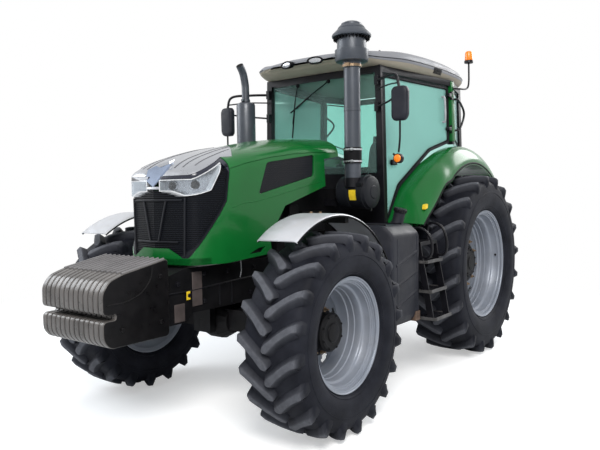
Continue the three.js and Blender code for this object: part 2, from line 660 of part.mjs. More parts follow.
const backSillTop = cab.waist + 140;
function cabFrame() {
  const z = [cab.floor, cab.top];
  const pillarA = post([sideAt(cab.front, z[0]), cab.front, z[0]], [sideAt(cab.front, z[1]), cab.front, z[1]],
    cabPost, cabPost);
  const pillarBFoot = crestTop + 18;
  const pillarB = post([sideAt(cab.pillarB, pillarBFoot), cab.pillarB + 12, pillarBFoot],
    [sideAt(cab.pillarB, z[1]), cab.pillarB + 12, z[1]], cabPost, 50);
  const pillarCFoot = backSillTop - 70;
  const pillarC = post([backAt(cab.rear, pillarCFoot), cab.rear, pillarCFoot],
    [backAt(cab.rear, z[1]), cab.rear, z[1]], cabPost, cabPost);
  const header = onSide([
    [cab.front - 30, doorTop + panelGap], [cab.pillarB + 30, doorTop + panelGap],
    [cab.pillarB + 30, cab.top], [cab.front - 30, cab.top],
  ], [-cabPost / 2, cabPost / 2]);
  const backHeader = onSide([
    [cab.pillarB - 10, doorTop], [cab.rear, doorTop], [cab.rear, cab.top], [cab.pillarB - 10, cab.top],
  ], [-cabPost / 2, cabPost / 2], backAt);
  const half = cab.sideX;
  const ends = [cab.front, cab.rear].map((y) =>
    box([25 - half, half - 25], [y - cabPost / 2, y + cabPost / 2], [doorTop + panelGap, cab.top]));
  const whole = [cab.front - 30, cab.rear + 30];
  const back = [cab.rear - 30, cab.rear + 30];
  const floor = box([-innerWall, innerWall], whole, [cab.floor - floorPlate, cab.floor]);
  const frontFloor = box([-half - 15, half + 15], [cab.front - 30, cab.front + 75],
    [cab.floor - floorPlate, cab.floor + 110]);
  const cowl = box([15 - half, half - 15], [cab.front - 30, cab.front + 30], [cab.floor, cab.waist]);
  const sideWall = sideShape([
    [cab.front + 30, cab.floor - 10], [cab.rear + 30, cab.floor - 10], [cab.rear + 30, cab.waist - 30],
    ...arcPoints(fender.arch + fender.wall, 22, -archFrontAngle, axleYZ, 6),
    outerEdge[0], [cab.front + 30, outerEdge[0][1]],
  ], [innerWall - 28, innerWall]);
  const backWall = box([-innerWall, innerWall], back, [cab.floor - 10, backSillTop]);
  const sillHalf = backAt(cab.rear, backSillTop - 20);
  const backSill = box([-sillHalf, sillHalf], back, [backSillTop - 80, backSillTop]);
  const side = join(pillarA, pillarB, pillarC, header, backHeader, sideWall);
  const frame = join(bothSides(side), ...ends, floor, frontFloor, cowl, backWall, backSill);
  const fenders = bothSides(grown(rearFender(), gap));
  const doorSpace = bothSides(onSide(grownOutline(doorOutline, panelGap), [-60, 60]));
  const lugSpace = bothSides(join(...hinge.z.map((z) =>
    rod("z", 20 + panelGap, [z - panelGap, z + 40 + panelGap], [hinge.x, hinge.y]))));
  return cut(frame, fenders, doorSpace, lugSpace);
}

function grownOutline(points, by) {
  return insetOutline(points, -by);
}

function cabFrameWithPins() {
  const pins = bothSides(join(...hinge.z.map((z) => join(
    rod("z", doorPin, [z - 24, z + 64], [hinge.x, hinge.y]),
    box([hinge.x - 12, hinge.x + 12], [hinge.y - 8, cab.pillarB + 20], [z - 24, z - 4]),
    box([hinge.x - 50, hinge.x + 12], [cab.pillarB + 2, cab.pillarB + 22], [z - 24, z + 64]),
    box([hinge.x - 12, hinge.x + 12], [hinge.y - 8, cab.pillarB + 20], [z + 44, z + 64]),
  ))));
  return join(cabFrame(), pins);
}
node("cab_frame", cabFrameWithPins(), plastic);

function bowedPane(halfWidth, y, bow, [low, high], thick) {
  const steps = 6;
  const edge = (offset) => Array.from({ length: steps + 1 }, (_, i) => {
    const t = -1 + (2 * i) / steps;
    return [t * halfWidth, y - bow * (1 - t * t) + offset];
  });
  return planShape([...edge(0), ...edge(thick).reverse()], [low, high]);
}
const frontPane = sideAt(cab.front, cab.top) - cabPost / 2 - gap - 6;
node("windscreen",
  bowedPane(frontPane, cab.front, 22, [cab.waist + gap, doorTop + panelGap - gap], glass), pane);
const rearPane = backAt(cab.rear, cab.top) - cabPost / 2 - gap - 4;
node("rear_window",
  bowedPane(rearPane, cab.rear, -20, [backSillTop + gap, doorTop + panelGap - gap], glass), pane);

// The roof at each place along Y: how much narrower than its widest, and how high its underside and top are.
const roofStations = [
  [cab.front - 320, 390, 45, 85], [cab.front - 240, 230, 20, 125], [cab.front - 50, 130, 0, 160],
  [cab.front + 330, 30, 0, 202], [cab.pillarB - 260, 0, 0, 225], [cab.rear - 260, 20, 0, 218],
  [cab.rear + 20, 100, 20, 190], [cab.rear + 110, 180, 70, 150],
];

function roofBody() {
  const rings = roofStations.map(([y, narrower, under, over]) => {
    const [half, low, high] = [roof.halfWidth - narrower, roof.low + under, roof.low + over];
    const side = [[half - 60, low], [half, low + 0.35 * (high - low)], [half - 25, low + 0.7 * (high - low)],
      [half - 150, high - 12]];
    const other = side.slice().reverse().map(([x, z]) => [-x, z]);
    return [...side, [0, high], ...other].map(([x, z]) => [x, y, z]);
  });
  return loft(rings);
}
node("roof", roofBody(), roofPaint);

// ---------------------------------------------------------------- inside the cab
const inCab = (body) => moved(body, 0, cab.front, 0); // for pieces drawn with Y from the cab's front

function operatorSeat() {
  const height = cab.floor + 430;
  const cushion = box([-250, 250], [830, 1310], [height, height + 110]);
  const back = sideShape([
    [1270, height + 80], [1390, height + 660], [1290, height + 670], [1190, height + 80],
  ], [-230, 230]);
  const base = box([-180, 180], [910, 1250], [cab.floor + gap, height + 10]);
  const rests = bothSides(box([260, 330], [910, 1270], [height + 210, height + 260]));
  const restPosts = bothSides(box([225, 300], [1230, 1270], [height + 60, height + 240]));
  return inCab(join(cushion, back, base, rests, restPosts));
}
node("seat", operatorSeat(), plastic);

function steeringColumn() {
  const height = cab.floor + 675;
  const column = post([0, 170, cab.floor + gap], [0, 320, height - 25], 120, 90);
  const wheel = turned([[-14, 195], [0, 209], [14, 195], [0, 181], [-14, 195]], "z", 20);
  const spokes = join(box([-192, 192], [-16, 16], [-8, 6]), box([-16, 16], [-192, 0], [-8, 6]));
  const hub = rod("z", 50, [-30, 12], [0, 0]);
  const tilted = geometryOf(join(wheel, spokes, hub)).rotateX(-0.45).translate(0, 330, height);
  return inCab(join(column, solid(tilted)));
}
node("steering_column", steeringColumn(), plastic);
node("dashboard", inCab(sideShape([
  [30 + gap, cab.floor + 130], [30 + gap, cab.waist + 60], [170, cab.waist + 80], [210, cab.waist + 20],
  [120, cab.floor + 130],
], [-230, 230])), plastic);

// ---------------------------------------------------------------- tank, tool box, steps
function fuelTank() {
  const { inner, outer, front, rear, low, high } = tank;
  const body = frontShape([
    [inner, low + 40], [inner, high - 30], [inner + 30, high], [outer - 60, high], [outer, high - 60],
    [outer, low + 60], [outer - 50, low], [inner + 40, low],
  ], [front, rear]);
  const neck = rod("z", 48, [high - 5, high + 75], [outer - 150, rear - 90]);
  return join(body, neck);
}
node("fuel_tank", fuelTank(), plastic);
node("tool_box", mirrored(frontShape([
  [tank.inner, tank.low + 80], [tank.inner, tank.high - 80], [tank.outer - 80, tank.high - 80],
  [tank.outer - 40, tank.high - 120], [tank.outer - 40, tank.low + 80],
], [tank.front + 60, tank.rear])), plastic);

function steps() {
  const [front, rear] = stepsY;
  const under = cab.floor - floorPlate - gap;
  const platform = box([innerWall + gap, 1070], [front, rear], [under - 33, under]);
  const rails = [front, rear - 14].map((y) => frontShape([
    [1010, under - 10], [1070, under - 10], [1110, 1040], [1200, 560], [1130, 560], [1050, 1000],
  ], [y, y + 14]));
  const treads = [[940, 1120, 1060], [1000, 1165, 800], [1040, 1205, 560]].map(([x0, x1, z]) =>
    box([x0, x1], [front, rear], [z, z + 26]));
  const hanger = box([innerWall - 80, innerWall + 20], [front + 100, rear - 100], [under - 33, under]);
  return join(platform, ...rails, ...treads, hanger);
}
// The hand loops stand on the platform, under the front of the fender.
function handLoops() {
  const foot = cab.floor - 60;
  const top = outerEdge[1][1] - 86;
  const at = (share) => foot + share * (top - foot);
  return [stepsY[0] + 7, stepsY[1] - 7].map((y) => tube([
    [1040, y, foot], [1085, y, at(0.48)], [1075, y, at(0.95)], [1010, y, top], [990, y, at(0.62)],
    [1000, y, foot],
  ], 14, 14));
}
pair("steps", join(steps(), ...handLoops()), cast);

// ---------------------------------------------------------------- mirrors and beacon
function mirror() {
  const head = frontShape([
    [925, 2330], [940, 2305], [1060, 2305], [1078, 2330], [1082, 2570], [1060, 2600], [945, 2600],
    [925, 2570],
  ], [-315, -260]);
  const pillarX = sideAt(cab.front, 2700) + gap;
  const arm = tube([
    [pillarX - 5, -45, 2720], [800, -140, 2720], [960, -270, 2690], [1000, -287, 2560],
  ], 13, 10);
  const brace = tube([[pillarX - 5, -45, 2480], [820, -150, 2500], [960, -265, 2520]], 10, 6);
  const pads = [2480, 2720].map((z) =>
    box([pillarX - 22, pillarX + 12], [-62, -30 - gap], [z - 40, z + 40]));
  const drop = tube([[1003, -287, 2310], [1000, -285, 2150], [975, -270, 2010]], 7, 6);
  const lamp = rod("y", 42, [-290, -235], [975, 1985], 16);
  return inCab(join(head, arm, brace, ...pads, drop, lamp));
}
pair("mirror", mirror(), plastic);

function beacon() {
  const [x, y, z] = [922, cab.pillarB + 260, cab.top + 210];
  const foot = [sideAt(cab.pillarB, cab.top - 80) + 34, cab.pillarB + 30, cab.top - 80];
  const stalk = tube([
    foot, [foot[0] + 60, foot[1] + 30, foot[2] - 5], [x - 7, y - 40, z - 270], [x, y - 2, z - 210],
    [x, y, z + 10],
  ], 9, 14);
  const lamp = turned([[0, 0], [0, 48], [25, 48], [30, 40], [120, 38], [130, 28], [130, 0]], "z", 16);
  return join(stalk, moved(lamp, x, y, z));
}
node("beacon", beacon(), amber);

// ---------------------------------------------------------------- rear three-point hitch and drawbar
function lowerLink() {
  const { y, low, arm, x } = hitch;
  const eye = rod("x", 42, [x, x + 44], [y, low]);
  const across = (at, [x0, x1], [z0, z1]) => [[x0, at, z0], [x1, at, z0], [x1, at, z1], [x0, at, z1]];
  const bar = loft([
    across(y, [x + 2, x + 40], [low - 30, low + 30]),
    across(y + arm, [x + 8, x + 46], [low - 45, low + 35]),
    across(rearEnd - 60, [x + 90, x + 125], [low - 60, low]),
  ]);
  const ball = rod("x", 42, [x + 84, x + 130], [rearEnd - 42, low - 30], 12);
  const rodBoss = rod("x", 26, [x + 40, x + 60], [y + arm, low]);
  return join(eye, bar, ball, rodBoss);
}
pair("lower_link", lowerLink(), cast);

function liftArms() {
  const { y, high, arm, x } = hitch;
  const shaft = rod("x", 30, [-x - 20, x + 20], [y, high]);
  const eye = rod("x", 45, [x, x + 40], [y, high]);
  const tip = rod("x", 30, [x, x + 40], [y + arm, high]);
  const bar = sideShape([
    [y, high - 35], [y + arm, high - 26], [y + arm, high + 26], [y, high + 35],
  ], [x, x + 40]);
  return join(shaft, bothSides(join(eye, tip, bar)));
}
node("lift_arms", liftArms(), cast);

function liftRod() {
  const { y, high, low, arm, x } = hitch;
  const at = x + 60 + running;
  const top = rod("x", 28, [x + 40 + running, at + 30], [y + arm, high]);
  const bottom = rod("x", 28, [at, at + 30], [y + arm, low]);
  const bar = rod("z", 14, [low, high], [at + 15, y + arm], 10);
  return join(top, bottom, bar);
}
pair("lift_rod", liftRod(), cast);

function topLink() {
  const { y } = hitch;
  const bar = tube([[0, y, 1010], [0, y + 290, 985], [0, y + 650, 960]], 26, 2, 10);
  const end = rod("x", 36, [-26, 26], [y + 660, 958]);
  const foot = box([-40, 40], [y - 30 + gap, y + 20], [960, 1060]);
  return join(bar, end, foot);
}
node("top_link", topLink(), cast);

function drawbar() {
  const end = wheelbase + 760;
  const bar = box([-45, 45], [wheelbase - 100, end], [470, 515]);
  const hanger = box([-120, 120], [wheelbase + 100, wheelbase + 190], [470, 600 - gap]);
  const eye = ring("z", 62, 18, [470, 515], [0, end]);
  const hole = bore("z", 18, [470, 515], [0, end]);
  return join(cut(bar, hole), hanger, eye);
}
node("drawbar", drawbar(), cast);

export default tractor;
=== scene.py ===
# The looks of a farm tractor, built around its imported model. Metres, +X left, +Y rear, +Z up.
import math

import bmesh
import bpy
from mathutils.bvhtree import BVHTree
from mathutils import Matrix, Vector


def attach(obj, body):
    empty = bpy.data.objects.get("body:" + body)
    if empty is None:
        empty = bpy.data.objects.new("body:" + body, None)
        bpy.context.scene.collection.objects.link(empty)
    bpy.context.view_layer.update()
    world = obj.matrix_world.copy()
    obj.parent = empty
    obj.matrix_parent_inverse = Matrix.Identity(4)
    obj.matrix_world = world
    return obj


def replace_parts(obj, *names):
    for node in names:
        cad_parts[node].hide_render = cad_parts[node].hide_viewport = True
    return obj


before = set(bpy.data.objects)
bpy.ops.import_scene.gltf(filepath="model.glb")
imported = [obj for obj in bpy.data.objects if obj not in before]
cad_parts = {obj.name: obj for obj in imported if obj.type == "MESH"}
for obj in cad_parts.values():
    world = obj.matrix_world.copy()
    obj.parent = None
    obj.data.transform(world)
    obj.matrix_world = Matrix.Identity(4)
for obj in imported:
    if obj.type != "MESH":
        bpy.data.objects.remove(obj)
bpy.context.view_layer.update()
# The tractor's left is at positive X.
SIGNS = {"left": 1, "right": -1}
WHITE = (1, 1, 1, 1)


def feed(tree, node, inputs):
    """Sets a node's inputs, each to a plain value or to another node's output."""
    for name, value in inputs.items():
        if isinstance(value, bpy.types.NodeSocket):
            tree.links.new(value, node.inputs[name])
        else:
            node.inputs[name].default_value = value


def add_node(tree, kind, inputs=(), **settings):
    node = tree.nodes.new("ShaderNode" + kind)
    for name, value in settings.items():
        setattr(node, name, value)
    feed(tree, node, dict(inputs))
    return node


# ---------------------------------------------------------------- camera, light and floor
CAMERA_PLACE = (3.514, -4.866, 1.685)
CAMERA_AZIMUTH, CAMERA_ELEVATION, CAMERA_ROLL = 36.83, 2.78, -0.83
CAMERA_LENS = 37.4
SENSOR = 36.0


def add_camera():
    azimuth, elevation = math.radians(CAMERA_AZIMUTH), math.radians(CAMERA_ELEVATION)
    back = Vector((
        math.sin(azimuth) * math.cos(elevation), -math.cos(azimuth) * math.cos(elevation), math.sin(elevation),
    ))
    right = Vector((math.cos(azimuth), math.sin(azimuth), 0))
    turn = Matrix.Rotation(math.radians(CAMERA_ROLL), 3, back)
    right = turn @ right
    up = back.cross(right)
    data = bpy.data.cameras.new("camera")
    data.lens, data.sensor_width = CAMERA_LENS, SENSOR
    data.clip_start, data.clip_end = 0.05, 200
    camera = bpy.data.objects.new("camera", data)
    camera.matrix_world = Matrix((
        (right.x, up.x, back.x, CAMERA_PLACE[0]),
        (right.y, up.y, back.y, CAMERA_PLACE[1]),
        (right.z, up.z, back.z, CAMERA_PLACE[2]),
        (0, 0, 0, 1),
    ))
    bpy.context.scene.collection.objects.link(camera)
    bpy.context.scene.camera = camera


def add_lamp(name, place, target, size, power, color=(1, 1, 1)):
    data = bpy.data.lights.new(name, "AREA")
    data.shape, data.size, data.energy, data.color = "DISK", size, power, color
    lamp = bpy.data.objects.new(name, data)
    lamp.location = place
    lamp.rotation_mode = "QUATERNION"
    lamp.rotation_quaternion = (Vector(target) - Vector(place)).to_track_quat("-Z", "Y")
    bpy.context.scene.collection.objects.link(lamp)


def add_studio():
    scene = bpy.context.scene
    scene.view_settings.view_transform = "Standard"
    world = bpy.data.worlds.new("world")
    scene.world = world
    world.use_nodes = True
    tree = world.node_tree
    tree.nodes.clear()
    # the camera, mirrors and glass see white, and a weaker blue sky lights the object
    ray = add_node(tree, "LightPath").outputs
    seen = add_node(tree, "Math", {0: ray["Is Camera Ray"], 1: ray["Is Transmission Ray"]}, operation="MAXIMUM")
    white = add_node(tree, "Math", {0: seen.outputs[0], 1: ray["Is Glossy Ray"]}, operation="MAXIMUM")
    sky = add_node(tree, "Background", {"Color": (0.86, 0.93, 1.0, 1), "Strength": 0.62})
    plain = add_node(tree, "Background", {"Color": WHITE, "Strength": 1.0})
    mix = add_node(tree, "MixShader", {0: white.outputs[0], 1: sky.outputs[0], 2: plain.outputs[0]})
    add_node(tree, "OutputWorld", {"Surface": mix.outputs[0]})
    add_lamp("key", (5.5, -6.5, 7.5), (0, 0, 1.2), 4.5, 900, (1, 0.98, 0.95))
    add_lamp("fill", (-7, -4, 5), (0, 0, 1.2), 5, 380, (0.92, 0.96, 1))
    add_lamp("rear", (3, 8, 6), (0, 0, 1.5), 5, 420)


def add_floor():
    mesh = bpy.data.meshes.new("floor")
    far = 14
    mesh.from_pydata([(-far, -far, 0), (far, -far, 0), (far, far, 0), (-far, far, 0)], [], [(0, 1, 2, 3)])
    floor = bpy.data.objects.new("floor", mesh)
    bpy.context.scene.collection.objects.link(floor)
    made = bpy.data.materials.new("floor")
    made.use_nodes = True
    tree = made.node_tree
    tree.nodes.clear()
    # near the tractor the floor shows its shadow, and far from it the camera sees plain white
    camera_ray = add_node(tree, "LightPath").outputs["Is Camera Ray"]
    lift = add_node(tree, "Math", {0: camera_ray, 1: 0.42}, operation="MULTIPLY")
    matte = add_node(tree, "BsdfDiffuse", {"Color": (0.82, 0.82, 0.82, 1)})
    glow = add_node(tree, "Emission", {"Color": WHITE, "Strength": lift.outputs[0]})
    near = add_node(tree, "AddShader", {0: matte.outputs[0], 1: glow.outputs[0]})
    place = add_node(tree, "TexCoord")
    away = add_node(tree, "VectorMath", {0: place.outputs["Object"]}, operation="LENGTH")
    fade = add_node(tree, "MapRange", {"Value": away.outputs["Value"], "From Min": 3.2, "From Max": 6.5},
                    interpolation_type="SMOOTHSTEP")
    beyond = add_node(tree, "Math", {0: camera_ray, 1: fade.outputs["Result"]}, operation="MULTIPLY")
    white = add_node(tree, "Emission", {"Color": WHITE})
    cover = add_node(tree, "MixShader", {0: beyond.outputs[0], 1: near.outputs[0], 2: white.outputs[0]})
    add_node(tree, "OutputMaterial", {"Surface": cover.outputs[0]})
    mesh.materials.append(made)


# ---------------------------------------------------------------- materials
def shader_of(name):
    """A new material, its node tree and its shader."""
    made = bpy.data.materials.new(name)
    made.use_nodes = True
    return made, made.node_tree, made.node_tree.nodes["Principled BSDF"]


def noise(tree, scale, detail=4, rough=0.55):
    place = add_node(tree, "TexCoord")
    return add_node(tree, "TexNoise", {
        "Vector": place.outputs["Object"], "Scale": scale, "Detail": detail, "Roughness": rough,
    }).outputs["Fac"]


def ramp(tree, value, low, high, places=(0.35, 0.65)):
    """Goes from one colour to another as the value passes between two places."""
    node = add_node(tree, "ValToRGB", {"Fac": value})
    for stop, place, color in zip(node.color_ramp.elements, places, (low, high)):
        stop.position, stop.color = place, (*color, 1)
    return node.outputs["Color"]


def add_bump(tree, shader, height, strength, distance):
    bump = add_node(tree, "Bump", {"Strength": strength, "Distance": distance, "Height": height})
    feed(tree, shader, {"Normal": bump.outputs["Normal"]})


def finish_material(name, color, roughness, metallic=0.0, vary=0.12, vary_scale=2.5, grain=0.0,
                    grain_scale=300.0, rough_vary=0.08, dust=0.0, dust_color=(0.35, 0.32, 0.28), coat=0.0,
                    shine=0.5):
    """A surface whose colour and gloss drift a little, with fine grain in its relief and dust in patches."""
    made, tree, shader = shader_of(name)
    tone = ramp(tree, noise(tree, vary_scale), [c * (1 - vary) for c in color],
                [min(1, c * (1 + vary)) for c in color])
    if dust:
        patches = noise(tree, vary_scale * 2.3, 8, 0.65)
        amount = ramp(tree, patches, (0, 0, 0), (dust, dust, dust), (0.42, 0.75))
        tone = add_node(tree, "Mix", {"Factor": amount, "A": tone, "B": (*dust_color, 1)},
                        data_type="RGBA").outputs["Result"]
    gloss = add_node(tree, "MapRange", {
        "Value": noise(tree, vary_scale * 4, 6), "From Min": 0.3, "From Max": 0.7,
        "To Min": max(0.02, roughness - rough_vary), "To Max": min(1, roughness + rough_vary),
    })
    feed(tree, shader, {"Base Color": tone, "Roughness": gloss.outputs["Result"], "Metallic": metallic,
                        "Specular IOR Level": shine})
    if coat:
        feed(tree, shader, {"Coat Weight": coat, "Coat Roughness": 0.04})
    if grain:
        add_bump(tree, shader, noise(tree, grain_scale, 3), grain, 0.001)
    return made


MATERIALS = {
    "green": finish_material("green_paint", (0.004, 0.105, 0.019), 0.22, vary=0.1, vary_scale=1.2, coat=0.16,
                             rough_vary=0.05, grain=0.03, grain_scale=60, shine=0.25),
    "silver": finish_material("silver_paint", (0.34, 0.35, 0.375), 0.32, 0.6, vary=0.04, vary_scale=3, coat=0.15),
    "grey_handle": finish_material("handle_grey", (0.30, 0.31, 0.33), 0.45, 0.1, vary=0.1, vary_scale=20),
    "step_edge": finish_material("step_edge", (0.060, 0.058, 0.058), 0.5, 0.1, vary=0.35, vary_scale=15, grain=0.2,
                                 grain_scale=200, shine=0.3),
    "brown_grey": finish_material("brown_grey", (0.062, 0.050, 0.048), 0.5, 0.0, vary=0.2, vary_scale=12, shine=0.2),
    "bronze_dull": finish_material("bronze_dull", (0.115, 0.075, 0.055), 0.5, 0.2, vary=0.25, vary_scale=20, shine=0.3),
    # a lighter copy of the weight paint for the plates' faces that do not face sideways: painted light, with dust
    # patches
    "weights_lit_faces": finish_material("weights_lit_faces_and_dust", (0.085, 0.078, 0.074), 0.32, 0.1, vary=0.25, vary_scale=6, grain=0.2,
                                   grain_scale=180, dust=0.2, dust_color=(0.13, 0.115, 0.10), shine=0.35),
    # pale paint for the beads along the weight plates' top edges: worn edges and a painted highlight
    "edge_wear_and_highlight": finish_material("edge_wear_and_highlight", (0.17, 0.163, 0.166), 0.34, 0.2, vary=0.15, vary_scale=6, grain=0.2,
                                 grain_scale=200),
    "fender_silver": finish_material("fender_silver", (0.52, 0.53, 0.56), 0.36, 0.45, vary=0.08, vary_scale=5,
                                     dust=0.22, dust_color=(0.42, 0.38, 0.33), grain=0.08, grain_scale=400),
    # shiny chrome whose blue colour is a painted reflection of blue sky
    "chrome_painted_sky_blue": finish_material("nose_chrome_painted_reflection", (0.30, 0.36, 0.48), 0.16, 0.8, vary=0.15, vary_scale=6),
    "cast": finish_material("black_cast", (0.006, 0.006, 0.007), 0.45, 0.15, vary=0.3, vary_scale=6, grain=0.4,
                            grain_scale=260, dust=0.15, dust_color=(0.03, 0.026, 0.024), shine=0.12),
    "weights": finish_material("weight_paint", (0.0045, 0.0042, 0.0048), 0.34, 0.0, vary=0.25, vary_scale=5,
                               grain=0.2, grain_scale=180, dust=0.1, dust_color=(0.02, 0.017, 0.015), shine=0.2),
    "black": finish_material("black_paint", (0.005, 0.005, 0.007), 0.36, 0.0, vary=0.2, vary_scale=5, grain=0.1,
                             grain_scale=300, dust=0.08, dust_color=(0.03, 0.027, 0.025), shine=0.2),
    "plastic": finish_material("black_plastic", (0.008, 0.009, 0.012), 0.52, 0.0, vary=0.2, vary_scale=4,
                               grain=0.3, grain_scale=700, dust=0.1, dust_color=(0.035, 0.032, 0.03), shine=0.15),
    "grey_plastic": finish_material("grey_plastic", (0.012, 0.013, 0.019), 0.48, 0.0, vary=0.14, vary_scale=3,
                                    grain=0.25, grain_scale=500, dust=0.14, dust_color=(0.08, 0.075, 0.07),
                                    shine=0.2),
    "grey_metal": finish_material("grey_metal", (0.040, 0.047, 0.060), 0.38, 0.2, vary=0.12, vary_scale=4,
                                  grain=0.12, grain_scale=400, dust=0.1, dust_color=(0.12, 0.11, 0.10)),
    "rim": finish_material("rim_silver", (0.225, 0.245, 0.288), 0.42, 0.3, vary=0.08, vary_scale=4, grain=0.12,
                           grain_scale=420, dust=0.2, dust_color=(0.22, 0.205, 0.19)),
    # the wheel disc's paint is darker than the rim's: painted shade in the recessed disc, with darker patches over it
    "rim_disc_painted_shade": finish_material("rim_disc_painted_shade", (0.16, 0.175, 0.205), 0.44, 0.3, vary=0.12, vary_scale=5, grain=0.2,
                                grain_scale=380, dust=0.4, dust_color=(0.09, 0.08, 0.075)),
    "roof": finish_material("roof_grey", (0.185, 0.189, 0.207), 0.46, 0.0, vary=0.05, vary_scale=2, grain=0.1,
                            grain_scale=500, dust=0.15, dust_color=(0.25, 0.235, 0.21), shine=0.25),
    "beige": finish_material("roof_underside", (0.30, 0.265, 0.21), 0.6, 0.0, vary=0.08, grain=0.2, grain_scale=500,
                             shine=0.2),
    "seal": finish_material("rubber_seal", (0.005, 0.005, 0.006), 0.6, 0.0, vary=0.2, grain=0.2, grain_scale=500,
                            shine=0.1),
    "yellow": finish_material("blank_label", (0.75, 0.52, 0.02), 0.45, 0.0, vary=0.08, vary_scale=30),
    "bronze": finish_material("zinc_bolts", (0.26, 0.18, 0.11), 0.4, 0.6, vary=0.25, vary_scale=20),
    "steel": finish_material("bright_steel", (0.45, 0.46, 0.48), 0.3, 0.8, vary=0.15, vary_scale=12),
    "fabric": finish_material("seat_fabric", (0.022, 0.023, 0.028), 0.85, 0.0, vary=0.25, vary_scale=30,
                              grain=0.8, grain_scale=900, shine=0.2),
    "mesh": finish_material("dark_mesh", (0.0035, 0.005, 0.009), 0.4, 0.0, vary=0.2, grain=0.2, grain_scale=600,
                            shine=0.2),
    # dark paint for the strip by the lamps and for the painted groove shade on the silver panel
    "navy": finish_material("dark_trim_and_groove_shade", (0.006, 0.008, 0.020), 0.25, 0.1, vary=0.2, coat=0.2),
    "white_trim": finish_material("lamp_frame", (0.62, 0.63, 0.64), 0.35, 0.2, vary=0.06, vary_scale=20),
}


def glass_material(name, tint, mirror=0.045, roughness=0.03):
    """Tinted sheet glass: what is behind shows through in the tint, under a weak mirror that grows at a glance."""
    made, tree, shader = shader_of(name)
    shade = ramp(tree, noise(tree, 1.6), [c * 0.97 for c in tint], tint)
    clear = add_node(tree, "BsdfTransparent", {"Color": shade})
    feed(tree, shader, {"Base Color": shade, "Roughness": roughness, "Metallic": 0.0})
    glance = add_node(tree, "Fresnel", {"IOR": 1.28})
    share = add_node(tree, "Math", {0: glance.outputs[0], 1: mirror}, operation="ADD", use_clamp=True)
    mix = add_node(tree, "MixShader", {0: share.outputs[0], 1: clear.outputs[0], 2: shader.outputs[0]})
    feed(tree, tree.nodes["Material Output"], {"Surface": mix.outputs[0]})
    return made


MATERIALS["glass"] = glass_material("cab_glass", (0.72, 0.92, 0.88))
MATERIALS["lens"] = glass_material("lamp_lens", (0.93, 0.95, 0.97), 0.03)
MATERIALS["amber"] = finish_material("amber_lens", (0.9, 0.22, 0.01), 0.25, 0.0, vary=0.15, vary_scale=60)
MATERIALS["reflector"] = finish_material("lamp_reflector", (0.42, 0.43, 0.45), 0.24, 0.75, vary=0.04, vary_scale=8)


def tyre_material():
    """Black rubber, paler and dustier on the worn faces of the lugs, which lie furthest from the axle."""
    made, tree, shader = shader_of("tyre_rubber")
    wear = add_node(tree, "Attribute", attribute_name="wear")
    patches = add_node(tree, "MapRange", {
        "Value": noise(tree, 22, 8, 0.7), "From Min": 0.3, "From Max": 0.7, "To Min": 0.55, "To Max": 1.0,
    })
    worn = add_node(tree, "Math", {0: wear.outputs["Fac"], 1: patches.outputs["Result"]}, operation="MULTIPLY")
    rubber = ramp(tree, noise(tree, 5, 6, 0.6), (0.006, 0.0065, 0.010), (0.014, 0.015, 0.021))
    tone = add_node(tree, "Mix", {"Factor": worn.outputs[0], "A": rubber, "B": (0.095, 0.098, 0.112, 1)},
                    data_type="RGBA")
    feed(tree, shader, {"Base Color": tone.outputs["Result"], "Roughness": 0.6, "Specular IOR Level": 0.10})
    add_bump(tree, shader, noise(tree, 240, 4, 0.7), 0.35, 0.002)
    return made


MATERIALS["tyre"] = tyre_material()


# ---------------------------------------------------------------- making pieces
def piece(name, mesh, material, body, smooth=35, place=(0, 0, 0)):
    """Adds a mesh as a piece of the object: its material, its shading and the body that it rides on."""
    made = bpy.data.objects.new(name, mesh)
    bpy.context.scene.collection.objects.link(made)
    made.location = place
    mesh.materials.append(MATERIALS[material])
    if smooth:
        mesh.shade_smooth()
        mesh.set_sharp_from_angle(angle=math.radians(smooth))
    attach(made, body)
    return made


def mesh_of(name, points, faces):
    mesh = bpy.data.meshes.new(name)
    mesh.from_pydata([tuple(p) for p in points], [], faces)
    mesh.validate()
    mesh.update()
    return mesh


